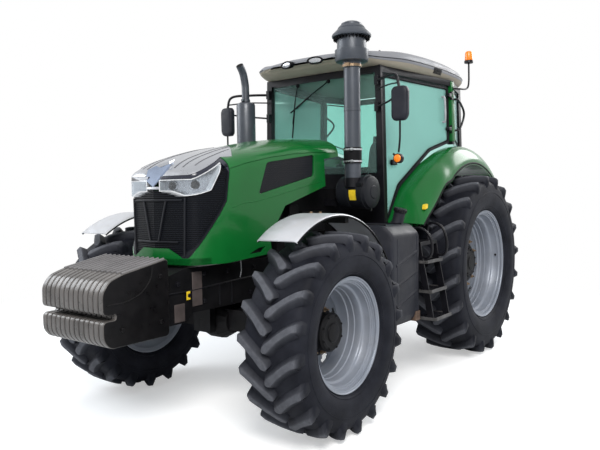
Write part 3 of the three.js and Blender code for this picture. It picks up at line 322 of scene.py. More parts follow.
class Shape:
    """Points and faces gathered from many small forms, which become one mesh."""

    def __init__(self):
        self.points, self.faces, self.values = [], [], []

    def add(self, points, faces, value=0.0):
        start = len(self.points)
        self.points += [tuple(p) for p in points]
        self.faces += [tuple(start + i for i in face) for face in faces]
        self.values += value if isinstance(value, list) else [value] * len(points)

    def grid(self, rows, closed_rows=False, closed_columns=False, value=0.0):
        """Rows of as many points each, joined by faces."""
        count = len(rows[0])
        faces = []
        for r in range(len(rows) if closed_rows else len(rows) - 1):
            s = (r + 1) % len(rows)
            for i in range(count if closed_columns else count - 1):
                j = (i + 1) % count
                faces.append((r * count + i, r * count + j, s * count + j, s * count + i))
        self.add([p for row in rows for p in row], faces, value)

    def solid(self, rings, value=0.0):
        """A closed body through rings, with flat ends."""
        count = len(rings[0])
        self.grid(rings, closed_columns=True, value=value)
        start = len(self.points) - count * len(rings)
        self.faces.append(tuple(start + i for i in reversed(range(count))))
        self.faces.append(tuple(len(self.points) - count + i for i in range(count)))

    def box(self, low, high, value=0.0):
        (x0, y0, z0), (x1, y1, z1) = low, high
        ring = lambda z: [(x0, y0, z), (x1, y0, z), (x1, y1, z), (x0, y1, z)]
        self.solid([ring(z0), ring(z1)], value)

    def block(self, s, across, back, up):
        """A box on one side of the tractor: its reach outwards, along Y from the front axle, and up."""
        low, high = sorted(s * x for x in across)
        self.box(at(low, back[0], up[0]), at(high, back[1], up[1]))

    def turn(self, profile, axis, centre=(0, 0, 0), sides=48, value=0.0):
        """(along, radius) points turned about an axis through centre. Ends on the axis close by themselves."""
        rows = []
        for a in turns(sides):
            rows.append([Vector(around(axis, along, radius, a)) + Vector(centre) for along, radius in profile])
        self.grid(rows, closed_rows=True, value=value)

    def stack(self, place, way, steps, sides=24, value=0.0):
        """A closed body of rings about way, from (along, radius) steps, standing at place."""
        way = Vector(way).normalized()
        self.solid([ring_of(Vector(place) + way * along, way, radius, sides) for along, radius in steps], value)

    def bolt(self, place, way, radius, height=None, value=0.0):
        """A washer under a hexagon head with a chamfered top."""
        height = height or radius * 1.1
        self.stack(place, way, [(0, radius * 1.45), (height * 0.18, radius * 1.45), (height * 0.2, radius * 1.3)],
                   16, value)
        self.stack(place, way, [(height * 0.2, radius), (height * 0.85, radius), (height, radius * 0.82)], 6, value)

    def tube(self, path, radius, sides=12, smooth=0):
        """A round bar along a path. With smooth, that many points are put between each two, on a curve."""
        path = [Vector(p) for p in path]
        if smooth:
            path = curve_through(path, smooth)
        ways = [(path[min(i + 1, len(path) - 1)] - path[max(i - 1, 0)]).normalized() for i in range(len(path))]
        side = ways[0].orthogonal().normalized()
        rings = []
        for p, way in zip(path, ways):
            side = (side - way * side.dot(way)).normalized()
            other = way.cross(side)
            rings.append([p + side * radius * math.cos(a) + other * radius * math.sin(a) for a in turns(sides)])
        self.solid(rings)

    def plate(self, outline, lift, low, high, value=0.0):
        """A flat outline, put in place by lift(a, b, depth), made thick from low to high."""
        self.solid([[lift(a, b, depth) for a, b in outline] for depth in (low, high)], value)

    def mesh(self, name):
        made = mesh_of(name, self.points, self.faces)
        if any(self.values):
            wear = made.attributes.new("wear", "FLOAT", "POINT")
            wear.data.foreach_set("value", self.values)
        return made

    def piece(self, name, material, body, smooth=35):
        """Adds what was gathered as a piece of the object."""
        return piece(name, self.mesh(name), material, body, smooth)


def turns(count):
    """The angles of a full turn in equal steps."""
    return [2 * math.pi * k / count for k in range(count)]


def ring_of(place, way, radius, sides):
    """Points round way, starting as close to up as way lets them."""
    up = Vector((0, 0, 1)) if abs(way.z) < 0.9 else Vector((1, 0, 0))
    u = (up - way * up.dot(way)).normalized()
    v = way.cross(u)
    return [place + u * radius * math.cos(a) + v * radius * math.sin(a) for a in turns(sides)]


def curve_through(points, between=6):
    """A smooth open curve through the points."""
    points = [Vector(p) for p in points]
    ends = [points[0] * 2 - points[1], *points, points[-1] * 2 - points[-2]]
    made = []
    for i in range(1, len(ends) - 2):
        a, b, c, d = ends[i - 1:i + 3]
        for k in range(between):
            t = k / between
            made.append(0.5 * ((2 * b) + (c - a) * t + (2 * a - 5 * b + 4 * c - d) * t * t
                               + (3 * b - 3 * c + d - a) * t ** 3))
    return made + [points[-1]]


def along(stops, u):
    """The value at u of a list of (place, value) stops, whose values may be numbers or vectors."""
    for (u0, v0), (u1, v1) in zip(stops, stops[1:]):
        if u <= u1:
            t = (u - u0) / (u1 - u0)
            return v0 + (v1 - v0) * t
    return stops[-1][1]


def around(axis, along, radius, angle):
    c, s = radius * math.cos(angle), radius * math.sin(angle)
    return {"x": (along, c, s), "y": (c, along, s), "z": (c, s, along)}[axis]


def tidy(obj, merge=1e-5):
    """Welds points that meet and turns all faces outwards."""
    made = bmesh.new()
    made.from_mesh(obj.data)
    bmesh.ops.remove_doubles(made, verts=made.verts, dist=merge)
    bmesh.ops.recalc_face_normals(made, faces=made.faces)
    made.to_mesh(obj.data)
    made.free()
    return obj


def rounded(obj, width=0.004, segments=2, angle=30):
    bevel = obj.modifiers.new("bevel", "BEVEL")
    bevel.width, bevel.segments, bevel.limit_method = width, segments, "ANGLE"
    bevel.angle_limit = math.radians(angle)
    bevel.harden_normals = False
    return obj


def dress(node, material, bevel):
    """A CAD node keeps its shape: it gets its material and finely rounded edges."""
    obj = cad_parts[node]
    obj.data.materials.clear()
    obj.data.materials.append(MATERIALS[material])
    weld = obj.modifiers.new("weld", "WELD")
    weld.merge_threshold = 1e-5
    flat = obj.modifiers.new("flat", "DECIMATE")
    flat.decimate_type, flat.angle_limit = "DISSOLVE", math.radians(0.5)
    rounded(obj, bevel)


# ---------------------------------------------------------------- the CAD nodes and their materials
DRESS = {
    "front_tyre": "tyre", "rear_tyre": "tyre", "front_rim": "rim", "rear_rim": "rim", "knuckle": "cast",
    "front_fender": "fender_silver", "headlight": "lens", "hood_mesh": "mesh", "rear_fender": "green",
    "door": "plastic", "door_glass": "glass", "quarter_window": "glass", "steps": "black", "mirror": "plastic",
    "lower_link": "cast", "lift_rod": "cast", "front_axle": "cast", "front_bolster": "cast",
    "front_weights": "weights", "engine_block": "cast", "hood_frame": "black", "transmission": "cast",
    "rear_axle": "cast", "hood": "green", "hood_front_panel": "silver", "grille": "mesh",
    "air_cleaner": "plastic", "snorkel": "grey_metal", "exhaust": "grey_metal", "cab_frame": "black",
    "windscreen": "glass", "rear_window": "glass", "roof": "roof", "seat": "fabric",
    "steering_column": "plastic", "dashboard": "plastic", "fuel_tank": "grey_plastic",
    "tool_box": "grey_plastic", "beacon": "amber", "lift_arms": "cast", "top_link": "cast", "drawbar": "cast",
}
# A shaft and the close bore that it turns in have smaller rounded edges.
CLOSE_FIT = ("lift_arms", "rear_axle")
for name, material in DRESS.items():
    for full in [name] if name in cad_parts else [f"{name}_{side}" for side in SIGNS]:
        dress(full, material, 0.0015 if name in CLOSE_FIT else 0.004)

# ---------------------------------------------------------------- wheels
# Sizes of a wheel from its tyre's middle plane, with x outwards. The height is the axle's.
WHEELS = {
    "front": {"x": 1.038, "y": -1.255, "z": 0.7125, "half": 0.240, "seat": 0.381, "rim_half": 0.1905,
              "flange": 0.406, "lug": 0.040, "lugs": 20, "sweep": 0.25},
    "rear": {"x": 0.921, "y": 1.545, "z": 0.9341, "half": 0.2885, "seat": 0.533, "rim_half": 0.2285,
             "flange": 0.559, "lug": 0.047, "lugs": 20, "sweep": 0.23},
}


def casing_profile(w):
    """(x, radius) points of half a tyre's casing, from the middle of the tread to the bead."""
    top, half, seat = w["z"] - w["lug"], w["half"], w["seat"]
    wall = top - seat
    bead = w["rim_half"] - 0.0125
    keys = [
        (0, top), (0.35 * half, top - 0.003), (0.68 * half, top - 0.012), (0.86 * half, top - 0.030),
        (0.945 * half, top - 0.062), (0.985 * half, top - 0.36 * wall), (half, seat + 0.50 * wall),
        (0.985 * half, seat + 0.36 * wall), (0.93 * half, seat + 0.24 * wall), (0.86 * half, seat + 0.145 * wall),
        (bead + 0.016, w["flange"] + 0.012), (bead + 0.002, w["flange"] + 0.003),
    ]
    smooth = [(p.x, p.y) for p in curve_through([Vector((x, r, 0)) for x, r in keys], 4)]
    return smooth + [(bead, w["seat"] + 0.006), (bead - 0.012, w["seat"] + 0.0004)]


def ribbed(profile, w):
    """Two fine raised rings on the side wall."""
    made = []
    wall = w["z"] - w["lug"] - w["seat"]
    rings = [w["seat"] + 0.17 * wall, w["seat"] + 0.60 * wall]
    for (x0, r0), (x1, r1) in zip(profile, profile[1:]):
        made.append((x0, r0))
        for ring in rings:
            if r1 < ring <= r0 and x0 > 0.7 * w["half"]:
                t = (r0 - ring) / (r0 - r1)
                x = x0 + (x1 - x0) * t
                made += [(x, ring + 0.004), (x + 0.003, ring + 0.0025), (x + 0.003, ring - 0.0025), (x, ring - 0.004)]
    return made + [profile[-1]]


def add_tyre(end, side):
    w = WHEELS[end]
    s = SIGNS[side]
    top, half = w["z"], w["half"]

    def at(x, radius, angle):
        return (s * (w["x"] + x), w["y"] - radius * math.cos(angle), w["z"] + radius * math.sin(angle))

    shape = Shape()
    outer = ribbed(casing_profile(w), w)
    profile = [(-x, r) for x, r in reversed(outer[1:])] + outer
    sides = 120
    shape.grid([[at(x, r, a) for x, r in profile] for a in turns(sides)], closed_rows=True, closed_columns=True)
    lug = w["lug"]
    # (share of the way out, (x, radius) of the top and of the foot)
    crest = [
        (0.00, Vector((-0.05 * half, top - 0.004))), (0.08, Vector((0.04 * half, top))),
        (0.45, Vector((0.42 * half, top - 0.002))), (0.80, Vector((0.80 * half, top - 0.009))),
        (0.92, Vector((0.955 * half, top - 0.017))), (0.945, Vector((0.988 * half, top - 0.030))),
        (0.97, Vector((1.0 * half, top - 0.068))), (1.00, Vector((0.985 * half, top - 0.125))),
    ]
    foot = [
        (0.00, Vector((-0.05 * half, top - lug - 0.008))), (0.08, Vector((0.04 * half, top - lug - 0.008))),
        (0.45, Vector((0.42 * half, top - lug - 0.010))), (0.80, Vector((0.78 * half, top - lug - 0.024))),
        (0.92, Vector((0.86 * half, top - lug - 0.045))), (0.945, Vector((0.90 * half, top - lug - 0.055))),
        (0.97, Vector((0.925 * half, top - lug - 0.080))), (1.00, Vector((0.95 * half, top - 0.135))),
    ]
    wide = [(0, 0.009), (0.03, 0.018), (0.09, 0.026), (0.18, 0.024), (0.35, 0.019), (0.8, 0.020), (0.92, 0.023),
            (1.0, 0.020)]
    stations = [0, 0.015, 0.04, 0.08, 0.14, 0.22, 0.31, 0.4, 0.5, 0.6, 0.7, 0.8, 0.87, 0.92, 0.945, 0.97, 1.0]
    pitch = 2 * math.pi / w["lugs"]
    for flip in (1, -1):
        for k in range(w["lugs"]):
            start = k * pitch + (pitch / 2 if flip < 0 else 0)
            rings, values = [], []
            for u in stations:
                reach = min(1, u / 0.93)
                angle = start + w["sweep"] * (1 - (1 - reach) ** 1.22)
                step = 0.01
                reach2 = min(1, (u + step) / 0.93)
                turn = w["sweep"] * ((1 - (1 - reach2) ** 1.22) - (1 - (1 - reach) ** 1.22)) * top
                run = 0.95 * half * step / 0.93
                length = math.hypot(turn, run)
                nx, na = (-turn / length, run / length)
                if u > 0.9:
                    nx, na = 0.0, 1.0
                c, f, h = along(crest, u), along(foot, u), along(wide, u)
                mid = c * 0.8 + f * 0.2
                section = [(f, -h - 0.034), (mid, -h - 0.007), (c, -h + 0.002), (c, h - 0.002), (mid, h + 0.007),
                           (f, h + 0.034)]
                rings.append([at(flip * (p.x + across * nx), p.y, angle + across * na / p.y)
                              for p, across in section])
                worn = 1 if u <= 0.93 else max(0, 1 - (u - 0.93) / 0.03)
                values += [0, 0.35 * worn, worn, worn, 0.35 * worn, 0]
            shape.solid(rings, values)
    made = shape.piece(f"tyre_{end}_{side}", "tyre", f"{end}_wheel_{side}", smooth=38)
    tidy(made, 1e-6)
    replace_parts(made, f"{end}_tyre_{side}")


RIM_FACE = {
    "front": [
        (0.1905, 0.4055), (0.1905, 0.401), (0.186, 0.396), (0.179, 0.3935), (0.177, 0.386), (0.166, 0.3835),
        (0.164, 0.376), (0.153, 0.3735), (0.151, 0.366), (0.141, 0.3635), (0.139, 0.358), (0.098, 0.353),
        (0.088, 0.348), (0.080, 0.334), (0.070, 0.329), (0.028, 0.327), (0.022, 0.321), (-0.020, 0.319),
        (-0.026, 0.311), (-0.070, 0.309), (-0.086, 0.304), (-0.1075, 0.290),
    ],
    "rear": [
        (0.2285, 0.5585), (0.2285, 0.554), (0.224, 0.548), (0.216, 0.545), (0.213, 0.536), (0.200, 0.533),
        (0.197, 0.525), (0.188, 0.522), (0.184, 0.514), (0.130, 0.508), (0.118, 0.502), (0.108, 0.486),
        (0.096, 0.481), (0.050, 0.479), (0.044, 0.471), (0.008, 0.469), (0.0, 0.460), (-0.020, 0.456),
        (-0.037, 0.440),
    ],
}
RIM_BACK = {
    "front": [
        (-0.113, 0.302), (-0.150, 0.352), (-0.176, 0.368), (-0.186, 0.392), (-0.1905, 0.401), (-0.1905, 0.4055),
        (-0.182, 0.4055), (-0.178, 0.3808), (-0.110, 0.3808), (-0.090, 0.336), (0.060, 0.336), (0.080, 0.3808),
        (0.178, 0.3808), (0.182, 0.4055),
    ],
    "rear": [
        (-0.044, 0.452), (-0.120, 0.470), (-0.160, 0.505), (-0.212, 0.520), (-0.224, 0.545), (-0.2285, 0.554),
        (-0.2285, 0.5585), (-0.220, 0.5585), (-0.216, 0.5328), (-0.140, 0.5328), (-0.110, 0.488), (0.090, 0.488),
        (0.125, 0.5328), (0.216, 0.5328), (0.220, 0.5585),
    ],
}


def wheel_shape(end, side):
    """A shape with a maker of places: x outwards from the tyre's middle plane, a radius and an angle."""
    w = WHEELS[end]
    s = SIGNS[side]
    return Shape(), lambda x, radius, angle: Vector((
        s * (w["x"] + x), w["y"] - radius * math.cos(angle), w["z"] + radius * math.sin(angle),
    ))


def add_rim(end, side):
    w = WHEELS[end]
    s = SIGNS[side]
    body = f"{end}_wheel_{side}"
    shape, at = wheel_shape(end, side)
    profile = RIM_FACE[end] + RIM_BACK[end]
    sides = 128
    shape.grid([[at(x, r, a) for x, r in profile] for a in turns(sides)], closed_rows=True, closed_columns=True)
    rim = shape.piece(f"rim_{end}_{side}", "rim", body, smooth=28)
    tidy(rim, 1e-6)
    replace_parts(rim, f"{end}_rim_{side}")

    # the disc, with its hand holes, as a dished sheet that gets its thickness from a modifier
    disc, at = wheel_shape(end, side)
    edge = RIM_FACE[end][-1]
    if end == "front":
        rings = [edge, (-0.104, 0.270), (-0.098, 0.250), (-0.093, 0.225), (-0.090, 0.200), (-0.089, 0.180),
                 (-0.089, 0.140)]
    else:
        rings = [edge, (-0.034, 0.415), (-0.020, 0.385), (-0.006, 0.350), (0.0, 0.315), (0.002, 0.290),
                 (0.002, 0.240), (0.002, 0.150)]
    # each of the eight holes takes up part of twelve steps round the disc, and is widest in its middle row
    steps, gap_rows = 12, {1: (4, 7), 2: (3, 8), 3: (4, 7)}
    count = 8 * steps
    points = [[at(x, r, a) for x, r in rings] for a in turns(count)]
    n = len(rings)
    faces = []
    for k in range(count):
        for i in range(n - 1):
            if i in gap_rows and gap_rows[i][0] <= k % steps <= gap_rows[i][1]:
                continue
            k2 = (k + 1) % count
            faces.append((k * n + i, k * n + i + 1, k2 * n + i + 1, k2 * n + i))
    disc.add([p for row in points for p in row], faces)
    # its darker paint is painted shade for the disc set deep inside the rim
    sheet = disc.piece(f"disc_{end}_{side}", "rim_disc_painted_shade", body, smooth=40)
    tidy(sheet)
    thick = sheet.modifiers.new("thick", "SOLIDIFY")
    thick.thickness, thick.offset = 0.010, 0
    rounded(sheet, 0.002, 2, 40)

    hub, at = wheel_shape(end, side)
    middle = at(0, 0, 0)
    way = Vector((s, 0, 0))
    if end == "front":
        hub.stack(middle, way, [(-0.083, 0.178), (-0.074, 0.180), (-0.070, 0.176), (-0.069, 0.142), (-0.055, 0.136),
                                (0.010, 0.134), (0.014, 0.140), (0.030, 0.140), (0.034, 0.134), (0.044, 0.126),
                                (0.048, 0.108), (0.046, 0.102), (0.050, 0.070), (0.058, 0.066), (0.061, 0.058)], 48)
        bolts, ring, big = 10, 0.160, 0.013
        caps, cap_ring, cap_at = 8, 0.118, 0.045
    else:
        hub.stack(middle, way, [(0.006, 0.205), (0.020, 0.207), (0.024, 0.200), (0.025, 0.165), (0.034, 0.158),
                                (0.050, 0.155), (0.062, 0.146), (0.066, 0.120), (0.064, 0.112), (0.070, 0.080),
                                (0.078, 0.074), (0.080, 0.060)], 48)
        bolts, ring, big = 10, 0.240, 0.015
        caps, cap_ring, cap_at = 10, 0.132, 0.064
    for k in range(caps):
        hub.bolt(at(cap_at, cap_ring, 2 * math.pi * (k + 0.5) / caps), way, 0.008, 0.009)
    rounded(hub.piece(f"hub_{end}_{side}", "cast", body), 0.0015)
    nuts, at = wheel_shape(end, side)
    seat_x = -0.070 if end == "front" else 0.007
    for k in range(bolts):
        spot = at(seat_x, ring, 2 * math.pi * (k + 0.25) / bolts)
        nuts.bolt(spot, way, big, 0.018)
        nuts.stack(spot, way, [(0.016, big * 0.5), (0.034, big * 0.5), (0.036, big * 0.4)], 12)
    nuts.piece(f"wheel_nuts_{end}_{side}", "bronze", body)
    valve, at = wheel_shape(end, side)
    foot_x, foot_r = (0.118, 0.3555) if end == "front" else (0.155, 0.511)
    spot = at(foot_x, foot_r, math.radians(8 if end == "front" else 175))
    lean = (Vector((s * 0.35, 0, 0)) + (middle + way * foot_x - spot).normalized()).normalized()
    valve.stack(spot - lean * 0.004, lean, [(0, 0.013), (0.006, 0.013), (0.008, 0.008), (0.022, 0.007),
                                            (0.024, 0.0055), (0.040, 0.0055), (0.041, 0.004)], 14)
    valve.piece(f"valve_{end}_{side}", "seal", body)


for end in WHEELS:
    for side in SIGNS:
        add_tyre(end, side)
        add_rim(end, side)

# ---------------------------------------------------------------- hood
# The hood's sizes count along Y from the front axle.
AXLE = WHEELS["front"]["y"]
HOOD_LOW = 1.15
CROWN = [(-0.70, 1.800), (-0.62, 1.870), (-0.50, 1.940), (-0.35, 1.993), (-0.10, 2.055), (0.13, 2.090), (0.50, 2.155),
         (0.80, 2.180), (1.06, 2.195)]
HOOD_PLAN = [(0.450, 1.060), (0.450, 0.80), (0.446, 0.50), (0.438, 0.13), (0.430, -0.10), (0.419, -0.33),
             (0.397, -0.44), (0.366, -0.54), (0.340, -0.588), (0.292, -0.618), (0.18, -0.648), (0.08, -0.666),
             (0.0, -0.675)]


def eased(stops, u):
    """A smooth value through (place, value) stops."""
    if u <= stops[0][0]:
        return stops[0][1]
    slopes = []
    for i in range(len(stops)):
        (u0, v0), (u1, v1) = stops[max(i - 1, 0)], stops[min(i + 1, len(stops) - 1)]
        slopes.append((v1 - v0) / (u1 - u0))
    for i in range(len(stops) - 1):
        (u0, v0), (u1, v1) = stops[i], stops[i + 1]
        if u <= u1:
            h = u1 - u0
            t = (u - u0) / h
            return (v0 * (2 * t ** 3 - 3 * t * t + 1) + h * slopes[i] * (t ** 3 - 2 * t * t + t)
                    + v1 * (3 * t * t - 2 * t ** 3) + h * slopes[i + 1] * (t ** 3 - t * t))
    return stops[-1][1]


def hood_rows(inset):
    """Half of the hood's skin, set in by inset: rows from the rear to the nose, each from its foot to the crown."""
    plan = curve_through([Vector((x, y, 0)) for x, y in HOOD_PLAN], 5)
    rows = []
    for i, p in enumerate(plan):
        way = (plan[min(i + 1, len(plan) - 1)] - plan[max(i - 1, 0)]).normalized()
        x, y = p.x, p.y
        if i == len(plan) - 1:
            y += inset
        else:
            x, y = max(0.0, x + way.y * inset), y - way.x * inset
        nose = max(0.0, (-0.33 - p.y) / 0.345)
        spine = p.y if p.y > -0.33 else -0.33 - 0.27 * nose
        drop = 0.17 - 0.12 * min(1, nose * 1.15) ** 1.3
        top = eased(CROWN, y) - inset
        row = [Vector((x, y, HOOD_LOW + (top - drop - HOOD_LOW) * k / 8)) for k in range(8)]
        for k in range(17):
            a = math.pi / 2 * k / 16
            out, up = math.cos(a) ** 0.74 if k < 16 else 0.0, math.sin(a) ** 0.74
            py = spine + (y - spine) * out
            row.append(Vector((x * out, py, eased(CROWN, py) - inset - drop * (1 - up))))
        rows.append(row)
    return rows


def hood_skin(outer, inner):
    """A closed layer of the hood between two insets, as a new object."""
    rows, under = hood_rows(outer), hood_rows(inner)
    n, m = len(rows), len(rows[0])
    points, faces = [], []
    for s in (1, -1):
        start = len(points)
        for layer in (rows, under):
            points += [(s * p.x, p.y + AXLE, p.z) for row in layer for p in row]
        at = lambda layer, i, k: start + layer * n * m + i * m + k
        for i in range(n - 1):
            for k in range(m - 1):
                faces.append((at(0, i, k), at(0, i + 1, k), at(0, i + 1, k + 1), at(0, i, k + 1)))
                faces.append((at(1, i, k + 1), at(1, i + 1, k + 1), at(1, i + 1, k), at(1, i, k)))
            faces.append((at(0, i, 0), at(1, i, 0), at(1, i + 1, 0), at(0, i + 1, 0)))
        for k in range(m - 1):
            faces.append((at(0, 0, k), at(0, 0, k + 1), at(1, 0, k + 1), at(1, 0, k)))
    return loose("skin", mesh_of("skin", points, faces))


def loose(name, mesh):
    """An object for use as a block or a cutter, welded and turned outwards."""
    made = bpy.data.objects.new(name, mesh)
    bpy.context.scene.collection.objects.link(made)
    return tidy(made, 1e-6)


def prism(outline, view, low, high):
    """A block with an outline seen from the side (y, z), the front (x, z) or above (x, y). Y is from the axle."""
    lifts = {
        "side": lambda a, b, d: (d, a + AXLE, b), "front": lambda a, b, d: (a, d + AXLE, b),
        "plan": lambda a, b, d: (a, b + AXLE, d),
    }
    shape = Shape()
    shape.plate(outline, lifts[view], low, high)
    return loose("prism", shape.mesh("prism"))


def carve(block, *steps):
    """Cuts (DIFFERENCE) or keeps (INTERSECT) parts of a block with cutters, which are used up."""
    for way, cutter in steps:
        change = block.modifiers.new("cut", "BOOLEAN")
        change.object, change.operation, change.solver = cutter, way, "EXACT"
        graph = bpy.context.evaluated_depsgraph_get()
        mesh = bpy.data.meshes.new_from_object(block.evaluated_get(graph))
        block.modifiers.clear()
        block.data = mesh
        bpy.data.objects.remove(cutter)
    return block


def take(block, name, material, body, smooth=35, edge=0.0):
    """Makes a carved block a piece of the object."""
    mesh = block.data
    bpy.data.objects.remove(block)
    mesh.materials.clear()
    made = piece(name, mesh, material, body, smooth)
    tidy(made, 2e-5)
    if edge:
        rounded(made, edge, 2, 40)
    return made


def shifted(outline, by):
    """An outline moved outwards by a distance (inwards if negative)."""
    area = sum(x0 * y1 - x1 * y0 for (x0, y0), (x1, y1) in zip(outline, outline[1:] + outline[:1]))
    sign = 1 if area > 0 else -1
    made = []
    for i, (x, y) in enumerate(outline):
        (x0, y0), (x1, y1) = outline[i - 1], outline[(i + 1) % len(outline)]
        a, b = Vector((x - x0, y - y0)).normalized(), Vector((x1 - x, y1 - y)).normalized()
        n1, n2 = Vector((a.y, -a.x)) * sign, Vector((b.y, -b.x)) * sign
        scale = by / max(0.3, 1 + n1.dot(n2))
        made.append((x + scale * (n1.x + n2.x), y + scale * (n1.y + n2.y)))
    return made


def cornered(outline, radius, steps=4):
    """An outline with its corners rounded."""
    made = []
    for i, p in enumerate(outline):
        p, a, b = Vector(p), Vector(outline[i - 1]), Vector(outline[(i + 1) % len(outline)])
        r = min(radius, (a - p).length * 0.45, (b - p).length * 0.45)
        start, end = p + (a - p).normalized() * r, p + (b - p).normalized() * r
        for k in range(steps + 1):
            t = k / steps
            made.append(tuple(start * (1 - t) ** 2 + p * 2 * t * (1 - t) + end * t * t))
    return made


WIDE = (-0.6, 0.6)
HOOD_SIDES = [(-0.80, 1.204), (-0.35, 1.202), (0.130, 1.235), (0.112, 1.340), (0.175, 1.445), (0.300, 1.600),
              (0.855, 1.757), (0.840, 1.990), (1.060, 2.020), (1.060, 2.40), (-0.80, 2.40)]
LAMP = [(-0.80, 1.728), (-0.65, 1.721), (-0.622, 1.686), (-0.545, 1.702), (-0.47, 1.725), (-0.36, 1.925),
        (-0.60, 1.805), (-0.80, 1.802)]
GRILLE_END = [(1.247, -0.615), (1.305, -0.588), (1.406, -0.511), (1.547, -0.406), (1.650, -0.340), (1.850, -0.312),
              (1.966, -0.305)]
GRILLE = [(-0.80, 1.247)] + [(y, z) for z, y in GRILLE_END] + [(-0.80, 2.02)]
WINDOW = [(-0.012, 1.692), (0.085, 1.938), (0.670, 2.018), (0.692, 2.005), (0.685, 1.843)]
PANEL = [(-0.48, -0.34), (0, 0.13), (0.48, -0.34), (0.48, -0.80), (-0.48, -0.80)]
PANEL_SIDE = [(-0.80, 1.828), (-0.61, 1.832), (-0.31, 1.966), (0.15, 2.01), (0.15, 2.40), (-0.80, 2.40)]
BEZEL = [(-0.40, 1.19), (-0.40, 1.251), (-0.25, 1.251), (-0.13, 1.318), (0.13, 1.318), (0.25, 1.251), (0.40, 1.251),
         (0.40, 1.19)]
SKIRT_VENT = [(-0.13, 1.248), (-0.03, 1.285), (0.055, 1.296), (0.020, 1.252)]
# The valley down the middle of the nose: place along Y, its floor, its half width and its edge's height.
VALLEY = [(-0.455, 1.957, 0.004, 1.959), (-0.50, 1.922, 0.043, 1.940), (-0.55, 1.876, 0.095, 1.914),
          (-0.60, 1.828, 0.128, 1.884), (-0.64, 1.787, 0.098, 1.842), (-0.668, 1.756, 0.066, 1.800)]


def panel_block(by=0.0):
    return carve(prism(shifted(PANEL_SIDE, by), "side", *WIDE),
                 ("INTERSECT", prism(shifted(PANEL, by), "plan", 1.7, 2.45)))


def valley_block():
    rings = []
    for y, floor, half, edge in [(-0.44, 1.97, 0.002, 1.972)] + VALLEY + [(-0.75, 1.70, 0.066, 1.744)]:
        rise = 0.12
        wide = half * (1 + rise / max(edge - floor, 0.02))
        rings.append([(0, y + AXLE, floor), (wide, y + AXLE, edge + rise), (-wide, y + AXLE, edge + rise)])
    shape = Shape()
    shape.solid(rings)
    return loose("valley", shape.mesh("valley"))


